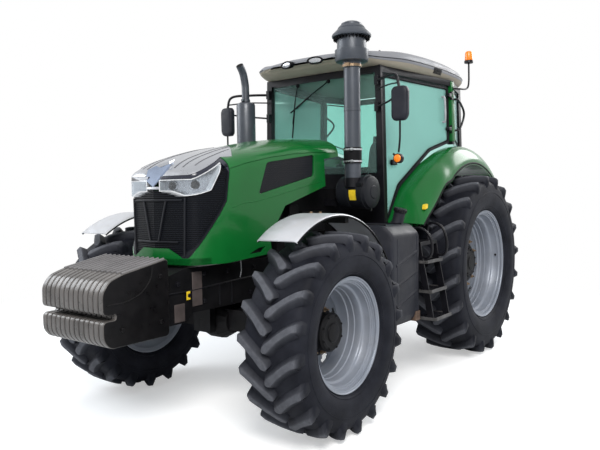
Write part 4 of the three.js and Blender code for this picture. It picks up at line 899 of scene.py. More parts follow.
def add_hood():
    body = "hood"
    # the green shell: regions cut out and a seam along the shoulder
    shell = carve(hood_skin(0, 0.02), ("INTERSECT", prism(HOOD_SIDES, "side", *WIDE)))
    bezel = carve(hood_skin(0, 0.010), ("INTERSECT", prism(HOOD_SIDES, "side", *WIDE)),
                  ("INTERSECT", prism(BEZEL, "front", -0.80, -0.48)))
    steps = [("DIFFERENCE", prism(GRILLE, "side", *WIDE)), ("DIFFERENCE", panel_block()),
             ("DIFFERENCE", prism(cornered(WINDOW, 0.03), "side", *WIDE)),
             ("DIFFERENCE", prism(cornered(SKIRT_VENT, 0.01), "side", *WIDE))]
    seam = [(-0.36, 1.868), (-0.15, 1.925), (0.15, 1.982), (0.45, 2.022), (0.75, 2.045), (1.02, 2.052)]
    band = [(y, z) for y, z in seam] + [(y, z - 0.0045) for y, z in reversed(seam)]
    steps.append(("DIFFERENCE", carve(hood_skin(-0.01, 0.006), ("INTERSECT", prism(band, "side", *WIDE)))))
    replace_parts(take(carve(shell, *steps), "hood_shell", "green", body, 40), "hood")
    take(bezel, "hood_bezel", "green", body, 40)
    liner = carve(hood_skin(0.0205, 0.026), ("INTERSECT", prism(shifted(SKIRT_VENT, 0.03), "side", *WIDE)))
    take(liner, "hood_vent_backing", "seal", body)
    eyes = Shape()
    for s in (1, -1):
        eyes.grid([[Vector((s * x, 1.03 + AXLE + r * math.cos(a), 2.105 + r * math.sin(a)))
                    for x, r in ((0.268, 0.0125), (0.268, 0.034), (0.300, 0.034), (0.300, 0.0125))]
                   for a in turns(24)], closed_rows=True, closed_columns=True)
        x0, x1 = sorted((s * 0.270, s * 0.298))
        eyes.box((x0, 1.012 + AXLE, 2.13), (x1, 1.048 + AXLE, 2.168))
    eyes.piece("hood_hinge_eyes", "black", body)
    for side, s in SIGNS.items():
        back = carve(hood_skin(0.012, 0.02), ("INTERSECT", prism(cornered(shifted(WINDOW, -0.0005), 0.03), "side",
                                                                 *sorted((s * 0.3, s * 0.47)))))
        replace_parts(take(back, f"hood_window_mesh_{side}", "mesh", body), f"hood_mesh_{side}")
        wires = Shape()
        z = 1.70
        while z < 2.01:
            y_low = -0.012 + (z - 1.692) * 0.395 if z < 1.938 else 0.085 + (z - 1.938) / 0.08 * 0.585
            y_high = (z - 1.692) / 0.151 * 0.697 - 0.012 if z < 1.843 else 0.685
            if y_high - y_low > 0.05:
                ys = [y_low + 0.012 + (y_high - y_low - 0.024) * k / 10 for k in range(11)]
                wires.tube([(s * (flank_at(y) - 0.0095), y + AXLE, z) for y in ys], 0.0022, 4)
            z += 0.0145
        wires.piece(f"hood_window_wires_{side}", "black", body)

        crease = Shape()
        for line in (((-0.045, 1.640), (0.20, 1.683), (0.50, 1.742), (0.825, 1.803)),
                     ((-0.290, 1.600), (-0.180, 1.628), (-0.045, 1.640))):
            crease.tube([(s * (flank_at(y) - 0.0015), y + AXLE, z) for y, z in line], 0.004, 8, smooth=8)
        crease.piece(f"hood_crease_{side}", "green", body, 50)

    # the silver panel, dark strips along it that are painted shade for its grooves, and the valley in the nose
    panel = carve(hood_skin(0, 0.014), ("INTERSECT", panel_block(-0.001)))
    tree = BVHTree.FromPolygons([v.co for v in panel.data.vertices], [tuple(f.vertices) for f in panel.data.polygons])
    strips = Shape()
    for s in (1, -1):
        for near, far, start, wide in ((0.145, 0.075, -0.590, 0.0075), (0.215, 0.130, -0.575, 0.005),
                                       (0.290, 0.195, -0.530, 0.005)):
            rings = []
            for k in range(25):
                t = k / 24
                y = start + (0.13 - start) * t
                x = near + (far - near) * t
                if x > 0.47 * (0.13 - y) / 0.47 - 0.006:
                    break
                hit = tree.ray_cast(Vector((s * x, y + AXLE, 3)), Vector((0, 0, -1)))[0]
                if hit is None:
                    continue
                rings.append([hit + Vector((dx, 0, dz)) for dx, dz in
                              ((-wide, -0.004), (wide, -0.004), (wide * 0.8, 0.0022), (-wide * 0.8, 0.0022))])
            strips.solid(rings)
    strips.piece("hood_panel_groove_shade", "navy", body, 40)
    made = take(carve(panel, ("DIFFERENCE", valley_block())), "hood_panel", "silver", body, 35)
    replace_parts(made, "hood_front_panel")
    walls = Shape()
    for s in (1, -1):
        outer = [[(0, y + AXLE, floor), (s * half, y + AXLE, edge)] for y, floor, half, edge in VALLEY]
        rings = [[a, b, (b[0], b[1] + 0.004, b[2] - 0.006), (0, a[1] + 0.004, a[2] - 0.006)] for a, b in outer]
        walls.solid([[Vector(q) for q in ring] for ring in rings])
    # the valley's walls are chrome, and their blue is a painted sky reflection
    walls.piece("nose_valley", "chrome_painted_sky_blue", body, 20)
    chin = Shape()
    chin.solid([[(-0.064, -0.655 + AXLE, z), (-0.064, -0.668 + AXLE + d, z), (0, -0.677 + AXLE + d, z),
                 (0.064, -0.668 + AXLE + d, z), (0.064, -0.655 + AXLE, z)]
                 for z, d in ((1.734, 0.006), (1.740, 0), (1.756, 0.004))])
    rounded(chin.piece("nose_chin", "silver", body, 30), 0.002)


def flank_at(y):
    """The hood's half width at a place along Y, from the axle."""
    for (x0, y0), (x1, y1) in zip(HOOD_PLAN, HOOD_PLAN[1:]):
        if y1 <= y <= y0:
            return x0 + (x1 - x0) * (y - y0) / (y1 - y0)
    return HOOD_PLAN[0][0]


def add_face():
    """The lamps, the nose between them, the grille and its ribs."""
    body = "hood"
    for side, s in SIGNS.items():
        half = sorted((s * 0.066, s * 0.5))
        inside = shifted(LAMP, -0.004)
        cover = carve(hood_skin(0.003, 0.007), ("INTERSECT", prism(inside, "side", *half)))
        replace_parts(take(cover, f"lamp_cover_{side}", "lens", body, 40), f"headlight_{side}")
        rim = carve(hood_skin(0.001, 0.055), ("INTERSECT", prism(LAMP, "side", *half)),
                    ("DIFFERENCE", prism(shifted(LAMP, -0.006), "side", *sorted((s * 0.073, s * 0.6)))))
        take(rim, f"lamp_frame_{side}", "white_trim", body, 40)
        bowl = carve(hood_skin(0.050, 0.058), ("INTERSECT", prism(shifted(LAMP, -0.006), "side", *half)))
        take(bowl, f"lamp_bowl_{side}", "reflector", body, 40)
        lights, dark = Shape(), Shape()
        for x, y, z, way in ((0.150, -0.612, 1.762, (0.28, -1, 0)), (0.322, -0.560, 1.765, (0.75, -0.8, 0))):
            way = Vector((s * way[0], way[1], 0)).normalized()
            spot = Vector((s * x, y + AXLE, z))
            lights.stack(spot - way * 0.03, way, [(0, 0.034), (0.030, 0.036), (0.034, 0.036), (0.036, 0.032),
                                                  (0.018, 0.028), (0.012, 0.024)], 28)
            dark.stack(spot - way * 0.012, way, [(0, 0.0275), (0.010, 0.026), (0.020, 0.022), (0.027, 0.014),
                                                 (0.030, 0.004)], 28)
        lights.piece(f"lamp_projector_rings_{side}", "reflector", body)
        dark.piece(f"lamp_projectors_{side}", "seal", body)
        # the dark strip between the lamp and the silver panel
        strip = carve(hood_skin(0.003, 0.02), ("INTERSECT", prism(
            [(-0.80, 1.8035), (-0.60, 1.8065), (-0.361, 1.9275), (-0.316, 1.85), (-0.312, 1.9645), (-0.61, 1.8305),
             (-0.80, 1.8265)], "side", *half)))
        take(strip, f"lamp_strip_{side}", "navy", body)
    # the grille: a dark back, slats all round the nose and ribs
    back = carve(hood_skin(0.022, 0.035), ("INTERSECT", prism(shifted(GRILLE, -0.001), "side", *WIDE)),
                 ("DIFFERENCE", prism(shifted(LAMP, 0.001), "side", *WIDE)),
                 ("DIFFERENCE", prism(shifted(PANEL_SIDE, 0.001), "side", *WIDE)), ("DIFFERENCE", valley_block()))
    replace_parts(take(back, "grille_back", "seal", body, 40), "grille")
    border = carve(hood_skin(0.004, 0.030), ("INTERSECT", prism(shifted(GRILLE, -0.001), "side", *WIDE)),
                   ("DIFFERENCE", prism(shifted(GRILLE, -0.012), "side", *WIDE)),
                   ("DIFFERENCE", prism(shifted(PANEL_SIDE, 0.001), "side", *WIDE)))
    take(border, "grille_border", "plastic", body, 40)
    slats = Shape()
    plan = [p for p in curve_through([Vector((x, y, 0)) for x, y in HOOD_PLAN], 5) if p.y < -0.25]
    z = 1.262
    while z < 1.94:
        limit = along(GRILLE_END, z) - 0.012
        spans = [[p for p in plan if p.y < limit]]
        if z > 1.682:
            near = along([(1.682, -0.63), (1.702, -0.545), (1.725, -0.47), (1.94, -0.352)], z) + 0.008
            far = along([(1.682, -0.628), (1.721, -0.655), (1.74, -0.668)], z)
            spans = [[p for p in plan if near < p.y < limit], [p for p in plan if p.y < far and z < 1.735]]
        for span in spans:
            if len(span) < 2:
                continue
            for s in (1, -1):
                bar = [Vector((s * max(0, p.x - 0.011), p.y + 0.011 + AXLE, z)) for p in span]
                slats.solid([[p + Vector((-s * d if p.x else 0, d * 0.6, h)) for h, d in
                              ((-0.0028, 0.0), (0.0028, 0.0), (0.0028, 0.006), (-0.0028, 0.006))] for p in bar])
        z += 0.0135
    slats.piece("grille_slats", "mesh", body, 30)
    ribs = Shape()
    lines = [[(-0.25, 1.657), (0.0, 1.66), (0.25, 1.657)], [(-0.215, 1.362), (0.0, 1.362), (0.215, 1.362)]]
    for s in (1, -1):
        lines += [[(s * 0.118, 1.655), (s * 0.045, 1.365)], [(s * 0.275, 1.675), (s * 0.262, 1.262)]]
    for line in lines:
        points = [Vector((x0 + (x1 - x0) * t / 6, 0, z0 + (z1 - z0) * t / 6))
                  for (x0, z0), (x1, z1) in zip(line, line[1:]) for t in range(7)]
        ribs.tube([(p.x, nose_at(p.x) + AXLE + 0.006, p.z) for p in points], 0.0075, 6)
    ribs.piece("grille_ribs", "plastic", body, 50)


def nose_at(x):
    """Where the nose's front face is along Y, from the axle."""
    return along([(0, -0.675), (0.08, -0.666), (0.18, -0.648), (0.292, -0.618), (0.34, -0.588)], abs(x))


add_hood()
add_face()

# ---------------------------------------------------------------- weights, fenders, front end
def at(x, y, z):
    """A place whose Y counts from the front axle."""
    return Vector((x, y + AXLE, z))


def side_plate(shape, outline, low, high):
    """A plate drawn in side view, Y from the front axle, between two places across."""
    shape.plate(outline, lambda a, b, d: (d, a + AXLE, b), low, high)


def add_weights():
    outline = cornered([(-1.35, 0.968), (-1.35, 1.105), (-1.30, 1.172), (-1.20, 1.207), (-0.83, 1.275), (-0.83, 0.757),
                        (-1.30, 0.757), (-1.35, 0.815), (-1.35, 0.932), (-1.255, 0.932), (-1.255, 0.968)], 0.035, 5)
    plates = Shape()
    for i in range(13):
        low = -0.330 + i * (0.660 - 0.046) / 12
        side_plate(plates, outline, low, low + 0.046)
    made = plates.piece("weight_plates", "weights", "chassis", 40)
    # the faces that do not face sideways, all but the top further back, take the lighter copy: painted light on the
    # plates
    made.data.materials.append(MATERIALS["weights_lit_faces"])
    for face in made.data.polygons:
        on_top = face.normal.z > 0.5 and face.center.y - AXLE > -1.20
        face.material_index = int(abs(face.normal.x) < 0.5 and not on_top)
    rounded(made, 0.007, 3, 50)
    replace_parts(made, "front_weights")
    core = Shape()
    side_plate(core, [(-1.24, 0.80), (-1.24, 1.16), (-0.85, 1.24), (-0.85, 0.79)], -0.325, 0.325)
    core.piece("weight_core", "seal", "chassis", 0)
    marks = Shape()
    for s in (1, -1):
        x = s * 0.331
        marks.tube([at(x, y, z) for y, z in ((-1.325, 1.030), (-1.18, 1.035), (-1.06, 1.075), (-0.985, 1.150),
                                             (-0.965, 1.235))], 0.005, 8, smooth=6)
        for y, z in ((-0.905, 1.165), (-1.215, 0.865), (-0.905, 0.865)):
            marks.bolt(at(x - s * 0.002, y, z), (s, 0, 0), 0.014)
    marks.piece("weight_beads", "weights", "chassis", 35)
    # beads along the plates' top edges in a pale paint: wear on the edges and a painted highlight
    tops = Shape()
    for i in range(13):
        x = -0.330 + i * (0.660 - 0.046) / 12 + 0.023
        tops.tube([at(x, y, z + 0.0005) for y, z in ((-1.19, 1.209), (-0.95, 1.2525), (-0.85, 1.2705))], 0.010, 8)
    tops.piece("weight_top_beads", "edge_wear_and_highlight", "chassis", 50)


def add_front_fender(side):
    s = SIGNS[side]
    centre, radius = 0.7125, 0.840
    inner, outer = 0.816, 1.148
    body = f"knuckle_{side}"
    across = [(0.0, -0.014), (0.02, -0.006), (0.06, -0.001), (0.5, 0.0), (0.94, -0.001), (0.98, -0.006), (1.0, -0.014)]
    rows, under = [], []
    for k in range(57):
        a = math.radians(-36 + 98 * k / 56)
        for rows_of, lift in ((rows, 0.0), (under, -0.008)):
            rows_of.append([at(s * (inner + (outer - inner) * u), (radius + h + lift) * math.sin(a),
                               centre + (radius + h + lift) * math.cos(a)) for u, h in across])
    shape = Shape()
    rings = [[*row, *reversed(low)] for row, low in zip(rows, under)]
    shape.solid(rings)
    made = shape.piece(f"front_fender_skin_{side}", "fender_silver", body, 40)
    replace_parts(made, f"front_fender_{side}")
    edge = Shape()
    for x in (inner + 0.004, outer - 0.004):
        edge.tube([at(s * x, (radius - 0.019) * math.sin(a), centre + (radius - 0.019) * math.cos(a))
                   for a in (math.radians(-35.8 + 97.6 * k / 48) for k in range(49))], 0.0075, 8)
    edge.piece(f"front_fender_rubber_{side}", "seal", body, 50)
    bolts = Shape()
    for a in (2, 14):
        for x in (0.89, 0.97):
            r = math.radians(a)
            way = Vector((0, math.sin(r), math.cos(r)))
            bolts.bolt(at(s * x, 0, centre) + way * (radius - 0.001), way, 0.010)
    bolts.piece(f"front_fender_bolts_{side}", "bronze", body, 30)


def arc_at(radius, degrees):
    a = math.radians(degrees)
    return 2.8 + radius * math.sin(a), 0.9341 + radius * math.cos(a)


def cab_side(y, z):
    return 0.675 + 0.14 * (y - 1.47) - 0.024 * (z - 1.4)


def add_rear_fender(side):
    s = SIGNS[side]
    outer = [(1.570, 1.400), (1.655, 1.470), (1.790, 1.560), (1.930, 1.672), (2.060, 1.775)]
    outer += [arc_at(1.070, -34 + 86 * k / 14) for k in range(0, 15)]
    crest = [(1.523, 1.414), (1.630, 1.571), (1.744, 1.728), (1.905, 1.858), (2.070, 1.965)]
    crest += [arc_at(1.243, -27 + 79 * k / 14) for k in range(0, 15)]
    outer = curve_through([Vector((0, y, z)) for y, z in outer], 3)
    crest = curve_through([Vector((0, y, z)) for y, z in crest], 3)
    rings = []
    for o, c in zip(outer, crest):
        top = min(cab_side(c.y, c.z), cab_side(2.66, c.z)) + 0.015
        inward = Vector((0, 2.8 - o.y, 0.9341 - o.z)).normalized()
        lip = o + inward * 0.030
        wall = []
        for k in range(9):
            t = k / 8
            a = t * math.pi / 2
            y = o.y + (c.y - o.y) * (0.45 * math.sin(a) + 0.55 * t)
            z = o.z + (c.z - o.z) * math.sin(a) ** 0.9
            x = 1.03 + (top + 0.012 - 1.03) * (1 - math.cos(a)) ** 0.85
            wall.append((x, y, z))
        inner = [(top - 0.025, c.y, c.z), (top - 0.035, o.y, o.z + 0.02), (0.635, o.y, o.z + 0.02),
                 (0.635, lip.y, lip.z)]
        rings.append([at(s * x, y, z) for x, y, z in [(1.022, lip.y, lip.z), (1.03, lip.y, lip.z), *wall, *inner]])
    shape = Shape()
    shape.solid(rings)
    body = "chassis"
    made = shape.piece(f"rear_fender_skin_{side}", "green", body, 38)
    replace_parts(made, f"rear_fender_{side}")
    rubber = Shape()
    path = [at(s * 1.024, o.y + 0.008, o.z - 0.012) for o in outer]
    rubber.tube(path, 0.013, 8)
    rubber.piece(f"rear_fender_rubber_{side}", "seal", body, 50)
    mark = Shape()
    y, z = 1.665, 1.555
    outline = cornered([(-0.028, -0.022), (0.028, -0.010), (0.034, 0.030), (-0.020, 0.020)], 0.008)
    mark.solid([[at(s * x, y + dy, z + dz) for dy, dz in outline] for x in (0.985, 1.015, 1.018 - 0.002)])
    mark.piece(f"fender_reflector_{side}", "yellow", body, 30)


add_weights()
for side in SIGNS:
    add_front_fender(side)
    add_rear_fender(side)


# ---------------------------------------------------------------- roof and cab
def add_roof():
    low = 2.8603
    stations = [(1.150, 0.430, 0.045, 0.085), (1.230, 0.590, 0.020, 0.125), (1.420, 0.690, 0.0, 0.160),
                (1.800, 0.790, 0.0, 0.202), (2.400, 0.820, 0.0, 0.225), (2.950, 0.800, 0.0, 0.218),
                (3.230, 0.720, 0.020, 0.190), (3.320, 0.640, 0.070, 0.150)]
    curve = curve_through([Vector((y, half, 0)) for y, half, _, _ in stations], 7)
    lows = curve_through([Vector((y, a, b)) for y, _, a, b in stations], 7)
    rings, band = [], []
    for p, q in zip(curve, lows):
        y, half, bottom, top = p.x, p.y, low + q.y, low + q.z
        tall = top - bottom
        side = [(half - 0.055, bottom), (half - 0.030, bottom + 0.012), (half - 0.006, bottom + 0.26 * tall),
                (half, bottom + 0.38 * tall), (half - 0.006, bottom + 0.50 * tall),
                (half - 0.030, bottom + 0.66 * tall),
                (half - 0.075, bottom + 0.80 * tall), (half - 0.16, top - 0.022), (half - 0.32, top - 0.008),
                (half * 0.28, top - 0.002)]
        ring = [at(x, y, z) for x, z in side] + [at(-x, y, z) for x, z in reversed(side)]
        rings.append(ring)
        flank = [(half - 0.0535, bottom - 0.0012), (half - 0.029, bottom + 0.0115),
                 (half - 0.015, bottom + 0.16 * tall),
                 (half - 0.0045, bottom + 0.25 * tall), (half - 0.030, bottom + 0.25 * tall),
                 (half - 0.09, bottom + 0.02)]
        band.append([at(x, y, z) for x, z in flank] + [at(-x, y, z) for x, z in reversed(flank)])
    shape = Shape()
    shape.solid(rings)
    made = shape.piece("roof_shell", "roof", "chassis", 50)
    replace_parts(made, "roof")
    under = Shape()
    under.solid(band)
    under.piece("roof_underside", "beige", "chassis", 40)
    seam = Shape()
    for s in (1, -1):
        seam.tube([at(s * (p.y + 0.0005), p.x, low + q.y + 0.39 * (q.z - q.y))
                   for p, q in zip(curve[3:-3], lows[3:-3])],
                  0.0035, 6)
    seam.piece("roof_seam", "plastic", "chassis", 50)
    # work lamps under the front edge, air slots at the rear corners and a lifting eye
    for side, s in SIGNS.items():
        frame_shape, lens, slots = Shape(), Shape(), Shape()
        spot = at(s * 0.16, 1.150, low + 0.060)
        way = Vector((s * 0.25, -1, -0.12)).normalized()
        across, up = Vector((1, s * 0.25, 0)).normalized(), Vector((0, -0.12, 1)).normalized()
        oval = lambda place, a, b: [place + across * a * math.cos(t) + up * b * math.sin(t) for t in turns(28)]
        frame_shape.solid([oval(spot - way * 0.02, 0.072, 0.030), oval(spot + way * 0.030, 0.080, 0.036),
                           oval(spot + way * 0.036, 0.076, 0.033), oval(spot + way * 0.034, 0.062, 0.024),
                           oval(spot + way * 0.022, 0.058, 0.022)])
        lens.solid([oval(spot + way * 0.020, 0.0625, 0.0235), oval(spot + way * 0.030, 0.061, 0.023),
                    oval(spot + way * 0.034, 0.045, 0.015)])
        frame_shape.piece(f"work_lamp_{side}", "seal", "chassis", 40)
        lens.piece(f"work_lamp_lens_{side}", "reflector", "chassis", 40)
        for k in range(6):
            z = low + 0.030 + 0.009 * k
            slots.solid([[at(s * (0.812 + 0.004 * min(k, 3) - d), 2.28 + dy, z + dz)
                          for d, dz in ((0, 0), (0, 0.005), (0.02, 0.005), (0.02, 0))]
                         for dy in (0.0, 0.17)])
        slots.piece(f"roof_air_slots_{side}", "seal", "chassis", 0)
    eye = Shape()
    eye.tube([at(0.30, 2.050, 3.062), at(0.30, 2.052, 3.105), at(0.30, 2.090, 3.150), at(0.30, 2.128, 3.105),
              at(0.30, 2.130, 3.062)], 0.009, 10, smooth=6)
    eye.piece("roof_eye", "black", "chassis", 50)


def add_cab():
    body = "chassis"
    for side, s in SIGNS.items():
        # green cover on the post behind the door and along the sill of the quarter window
        post = Shape()
        post.solid([[at(s * (cab_side(2.66, z) + d), y, z) for d, y in
                     ((0.000, 2.6325), (0.036, 2.634), (0.041, 2.665), (0.038, 2.704), (0.000, 2.708))]
                    for z in [2.225 + 0.625 * k / 12 for k in range(13)]])
        rounded(post.piece(f"post_cover_{side}", "green", body, 45), 0.003)
        # the door: a thin frame with its pane over it and a rubber seal between
        door = f"door_{side}"
        edge = [(1.506, 1.410), (1.725, 1.751), (2.250, 2.103), (2.624, 2.212), (2.624, 2.795), (1.506, 2.795)]
        rounded_edge = cornered(edge, 0.035)
        rail, pane, seal = Shape(), Shape(), Shape()
        opening = cornered(shifted(edge, -0.024), 0.028)
        inner, outer = -0.016, 0.012
        rail.grid([[at(s * (cab_side(y, z) + d), y, z) for y, z in outline]
                   for outline, d in ((rounded_edge, inner), (rounded_edge, outer), (opening, outer),
                                      (opening, inner))],
                  closed_rows=True, closed_columns=True)
        made = rail.piece(f"door_frame_{side}", "plastic", door, 35)
        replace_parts(made, door)
        sheet_edge = cornered(shifted(edge, -0.0245), 0.028)
        pane.solid([[at(s * (cab_side(y, z) + d), y, z) for y, z in sheet_edge] for d in (-0.004, 0.004)])
        made = pane.piece(f"door_pane_{side}", "glass", door, 30)
        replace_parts(made, f"door_glass_{side}")
        inner = cornered(shifted(edge, -0.030), 0.026)
        path = [at(s * (cab_side(y, z) + 0.006), y, z) for y, z in inner]
        seal.tube(path + path[:2], 0.006, 6)
        seal.piece(f"door_seal_{side}", "seal", door, 50)
        grip = Shape()
        x = lambda y, z: s * (cab_side(y, z) + 0.016)
        grip.tube([at(x(2.49, 2.42), 2.49, 2.42), at(x(2.49, 2.42) + s * 0.030, 2.49, 2.43),
                   at(x(2.49, 2.67) + s * 0.030, 2.49, 2.66), at(x(2.49, 2.67), 2.49, 2.67)], 0.011, 12, smooth=3)
        grip.piece(f"door_pull_{side}", "grey_handle", door, 50)
        latch = Shape()
        low, high = sorted((x(1.60, 1.98) - s * 0.004, x(1.60, 1.98) + s * 0.028))
        latch.box(at(low, 1.575, 1.95), at(high, 1.665, 2.00))
        rounded(latch.piece(f"door_latch_{side}", "black", door, 30), 0.008, 3)
        hinges = Shape()
        for z in (2.33, 2.68):
            hx = cab_side(2.66, 2.5) + 0.026
            hinges.block(s, (hx - 0.030, hx + 0.016), (2.560, 2.622), (z + 0.002, z + 0.038))
        rounded(hinges.piece(f"door_hinge_caps_{side}", "black", door, 30), 0.005, 2)
        grab = Shape()
        back = lambda y, z: s * (cab_side(2.66,
                                          z) * (1 - (y - 2.66) / 0.55) + (0.70 - 0.024 * (z - 1.4)) * (y - 2.66) / 0.55)
        grab.tube([at(back(y, z) + s * d, y, z) for y, z, d in
                   ((2.705, 2.665, 0.030), (2.740, 2.660, 0.088), (2.960, 2.545, 0.115), (2.790, 2.370, 0.090),
                    (2.705, 2.340, 0.030))], 0.012, 10, smooth=8)
        grab.piece(f"rear_grab_{side}", "black", body, 50)
        # seal round the quarter window
        quarter = [(2.715, 2.300), (3.155, 2.195), (3.155, 2.785), (2.715, 2.785)]
        inner = cornered(shifted(quarter, -0.012), 0.03)
        seal = Shape()
        path = [at(back(y, z) + s * 0.007, y, z) for y, z in inner]
        seal.tube(path + path[:2], 0.007, 6)
        seal.piece(f"quarter_seal_{side}", "seal", body, 50)
    # two wipers from the top of the windscreen
    glass = lambda x, z: at(x, 1.470 - 0.022 * (1 - (x / 0.63) ** 2) - 0.016, z)
    wipers = Shape()
    for pivot, elbow, tip, blade in (((-0.27, 2.775), (-0.30, 2.60), (-0.338, 2.40), ((-0.318, 2.545), (-0.352, 2.26))),
                                     ((0.10, 2.775), (-0.10, 2.66), (-0.300, 2.545),
                                      ((-0.150, 2.645), (-0.370, 2.515)))):
        wipers.stack(glass(*pivot) + Vector((0, 0.012, 0)), (0, -1, 0), [(0, 0.018), (0.018, 0.018), (0.022, 0.014)],
                     16)
        wipers.tube([glass(*pivot), glass(*elbow) + Vector((0, -0.010, 0)), glass(*tip)], 0.006, 8, smooth=5)
        wipers.tube([glass(*blade[0]) + Vector((0, 0.006, 0)), glass(*blade[1]) + Vector((0, 0.006, 0))], 0.007, 6)
    wipers.piece("wipers", "seal", body, 50)
    # the dark band over the windscreen
    band = Shape()
    band.solid([[glass(x, z) + Vector((0, d, 0))
                 for z, d in ((2.790, 0.0), (2.858, 0.0), (2.858, 0.012), (2.790, 0.012))]
                for x in [-0.58 + 1.16 * k / 16 for k in range(17)]])
    band.piece("visor_band", "black", body, 30)


def add_interior():
    body = "chassis"
    z = 1.72
    y0 = 1.47
    frame_shape = Shape()
    frame_shape.box(at(-0.17, y0 + 0.93, 1.295), at(0.17, y0 + 1.22, z - 0.03))
    for s in (1, -1):
        frame_shape.block(s, (0.225, 0.295), (y0 + 1.225, y0 + 1.27), (z + 0.05, z + 0.24))
    made = frame_shape.piece("seat_frame", "plastic", body, 30)
    rounded(made, 0.012, 3)
    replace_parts(made, "seat")
    shell = Shape()
    shell.solid([[at(x, y0 + y, zz)
                  for x, y, zz in ((-0.22, a, h), (0.22, a, h), (0.22, a + 0.03, h), (-0.22, a + 0.03, h))]
                 for a, h in ((1.255, z + 0.06), (1.30, z + 0.25), (1.345, z + 0.50), (1.365, z + 0.64))])
    rounded(shell.piece("seat_shell", "plastic", body, 40), 0.010, 3)
    for name, size, place, tilt in (("seat_cushion", (0.48, 0.47, 0.105), (0, y0 + 1.065, z + 0.055), 0.04),
                                    ("seat_backrest", (0.44, 0.095, 0.50), (0, y0 + 1.275, z + 0.33), -0.19),
                                    ("seat_headrest", (0.27, 0.085, 0.15), (0, y0 + 1.325, z + 0.615), -0.19)):
        soft_pad(name, size, at(*place), tilt, body)
    rests = Shape()
    for s in (1, -1):
        rests.block(s, (0.262, 0.328), (y0 + 0.915, y0 + 1.265), (z + 0.212, z + 0.258))
    rounded(rests.piece("seat_armrests", "fabric", body, 40), 0.018, 4)
    # steering wheel with three spokes on its column
    wheel = Shape()
    height, along_y = 1.29 + 0.675, y0 + 0.330
    tilt = Matrix.Rotation(-0.45, 4, "X")
    spot = lambda v: at(0, along_y, height) + (tilt @ Vector(v))
    wheel.tube([spot((0.195 * math.cos(a), 0.195 * math.sin(a), 0))
                for a in (2 * math.pi * k / 48 for k in range(50))], 0.0135, 12)
    for a in (90, 210, 330):
        r = math.radians(a + 90)
        wheel.tube([spot((0.03 * math.cos(r), 0.03 * math.sin(r), -0.012)),
                    spot((0.19 * math.cos(r), 0.19 * math.sin(r), 0))], 0.010, 8)
    wheel.stack(spot((0, 0, -0.030)), tilt @ Vector((0, 0, 1)),
                [(0, 0.040), (0.020, 0.052), (0.036, 0.048), (0.042, 0.034)], 32)
    made = wheel.piece("steering_wheel", "plastic", body, 50)
    column = Shape()
    column.tube([at(0, y0 + 0.170, 1.2903), at(0, y0 + 0.235, 1.62), at(0, y0 + 0.318, height - 0.03)], 0.048, 20,
                smooth=6)
    column.box(at(-0.09, y0 + 0.165, 1.2903), at(0.09, y0 + 0.275, 1.50))
    cover = column.piece("steering_column_cover", "plastic", body, 40)
    rounded(cover, 0.008, 2, 50)
    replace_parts(cover, "steering_column")


def soft_pad(name, size, place, tilt, body):
    """A foam pad: a rounded block whose faces swell."""
    w, d, h = (v / 2 for v in size)
    steps, squareness = 18, 0.42
    power = lambda t: math.copysign(abs(t) ** squareness, t)
    shape = Shape()
    rows = []
    for i in range(steps + 1):
        v = math.pi * (i / steps - 0.5)
        row = []
        for k in range(2 * steps):
            u = math.pi * k / steps
            cu, su, cv, sv = math.cos(u), math.sin(u), math.cos(v), math.sin(v)
            row.append(Vector((w * power(cv) * power(cu), d * power(cv) * power(su), h * power(sv))))
        rows.append(row)
    turn = Matrix.Rotation(tilt, 4, "X")
    for row in rows:
        for p in row:
            bulge = 0.012 * (1 - (p.x / w) ** 2) * (1 - (p.y / d) ** 2) * (1 - (p.z / h) ** 2 if abs(p.z) < h * 0.98
                                                                           else 1)
            p.z += math.copysign(bulge, p.z)
    shape.grid([[turn @ p + place for p in row] for row in rows[1:-1]], closed_columns=True)
    last = (steps - 2) * 2 * steps
    shape.add([turn @ rows[0][0] + place], [])
    shape.add([turn @ rows[-1][0] + place], [])
    n = 2 * steps
    total = (steps - 1) * n
    for k in range(n):
        shape.faces.append((total, (k + 1) % n, k))
        shape.faces.append((total + 1, last + k, last + (k + 1) % n))
    made = piece(name, shape.mesh(name), "fabric", body, 60)
    return made


add_roof()
add_cab()
add_interior()


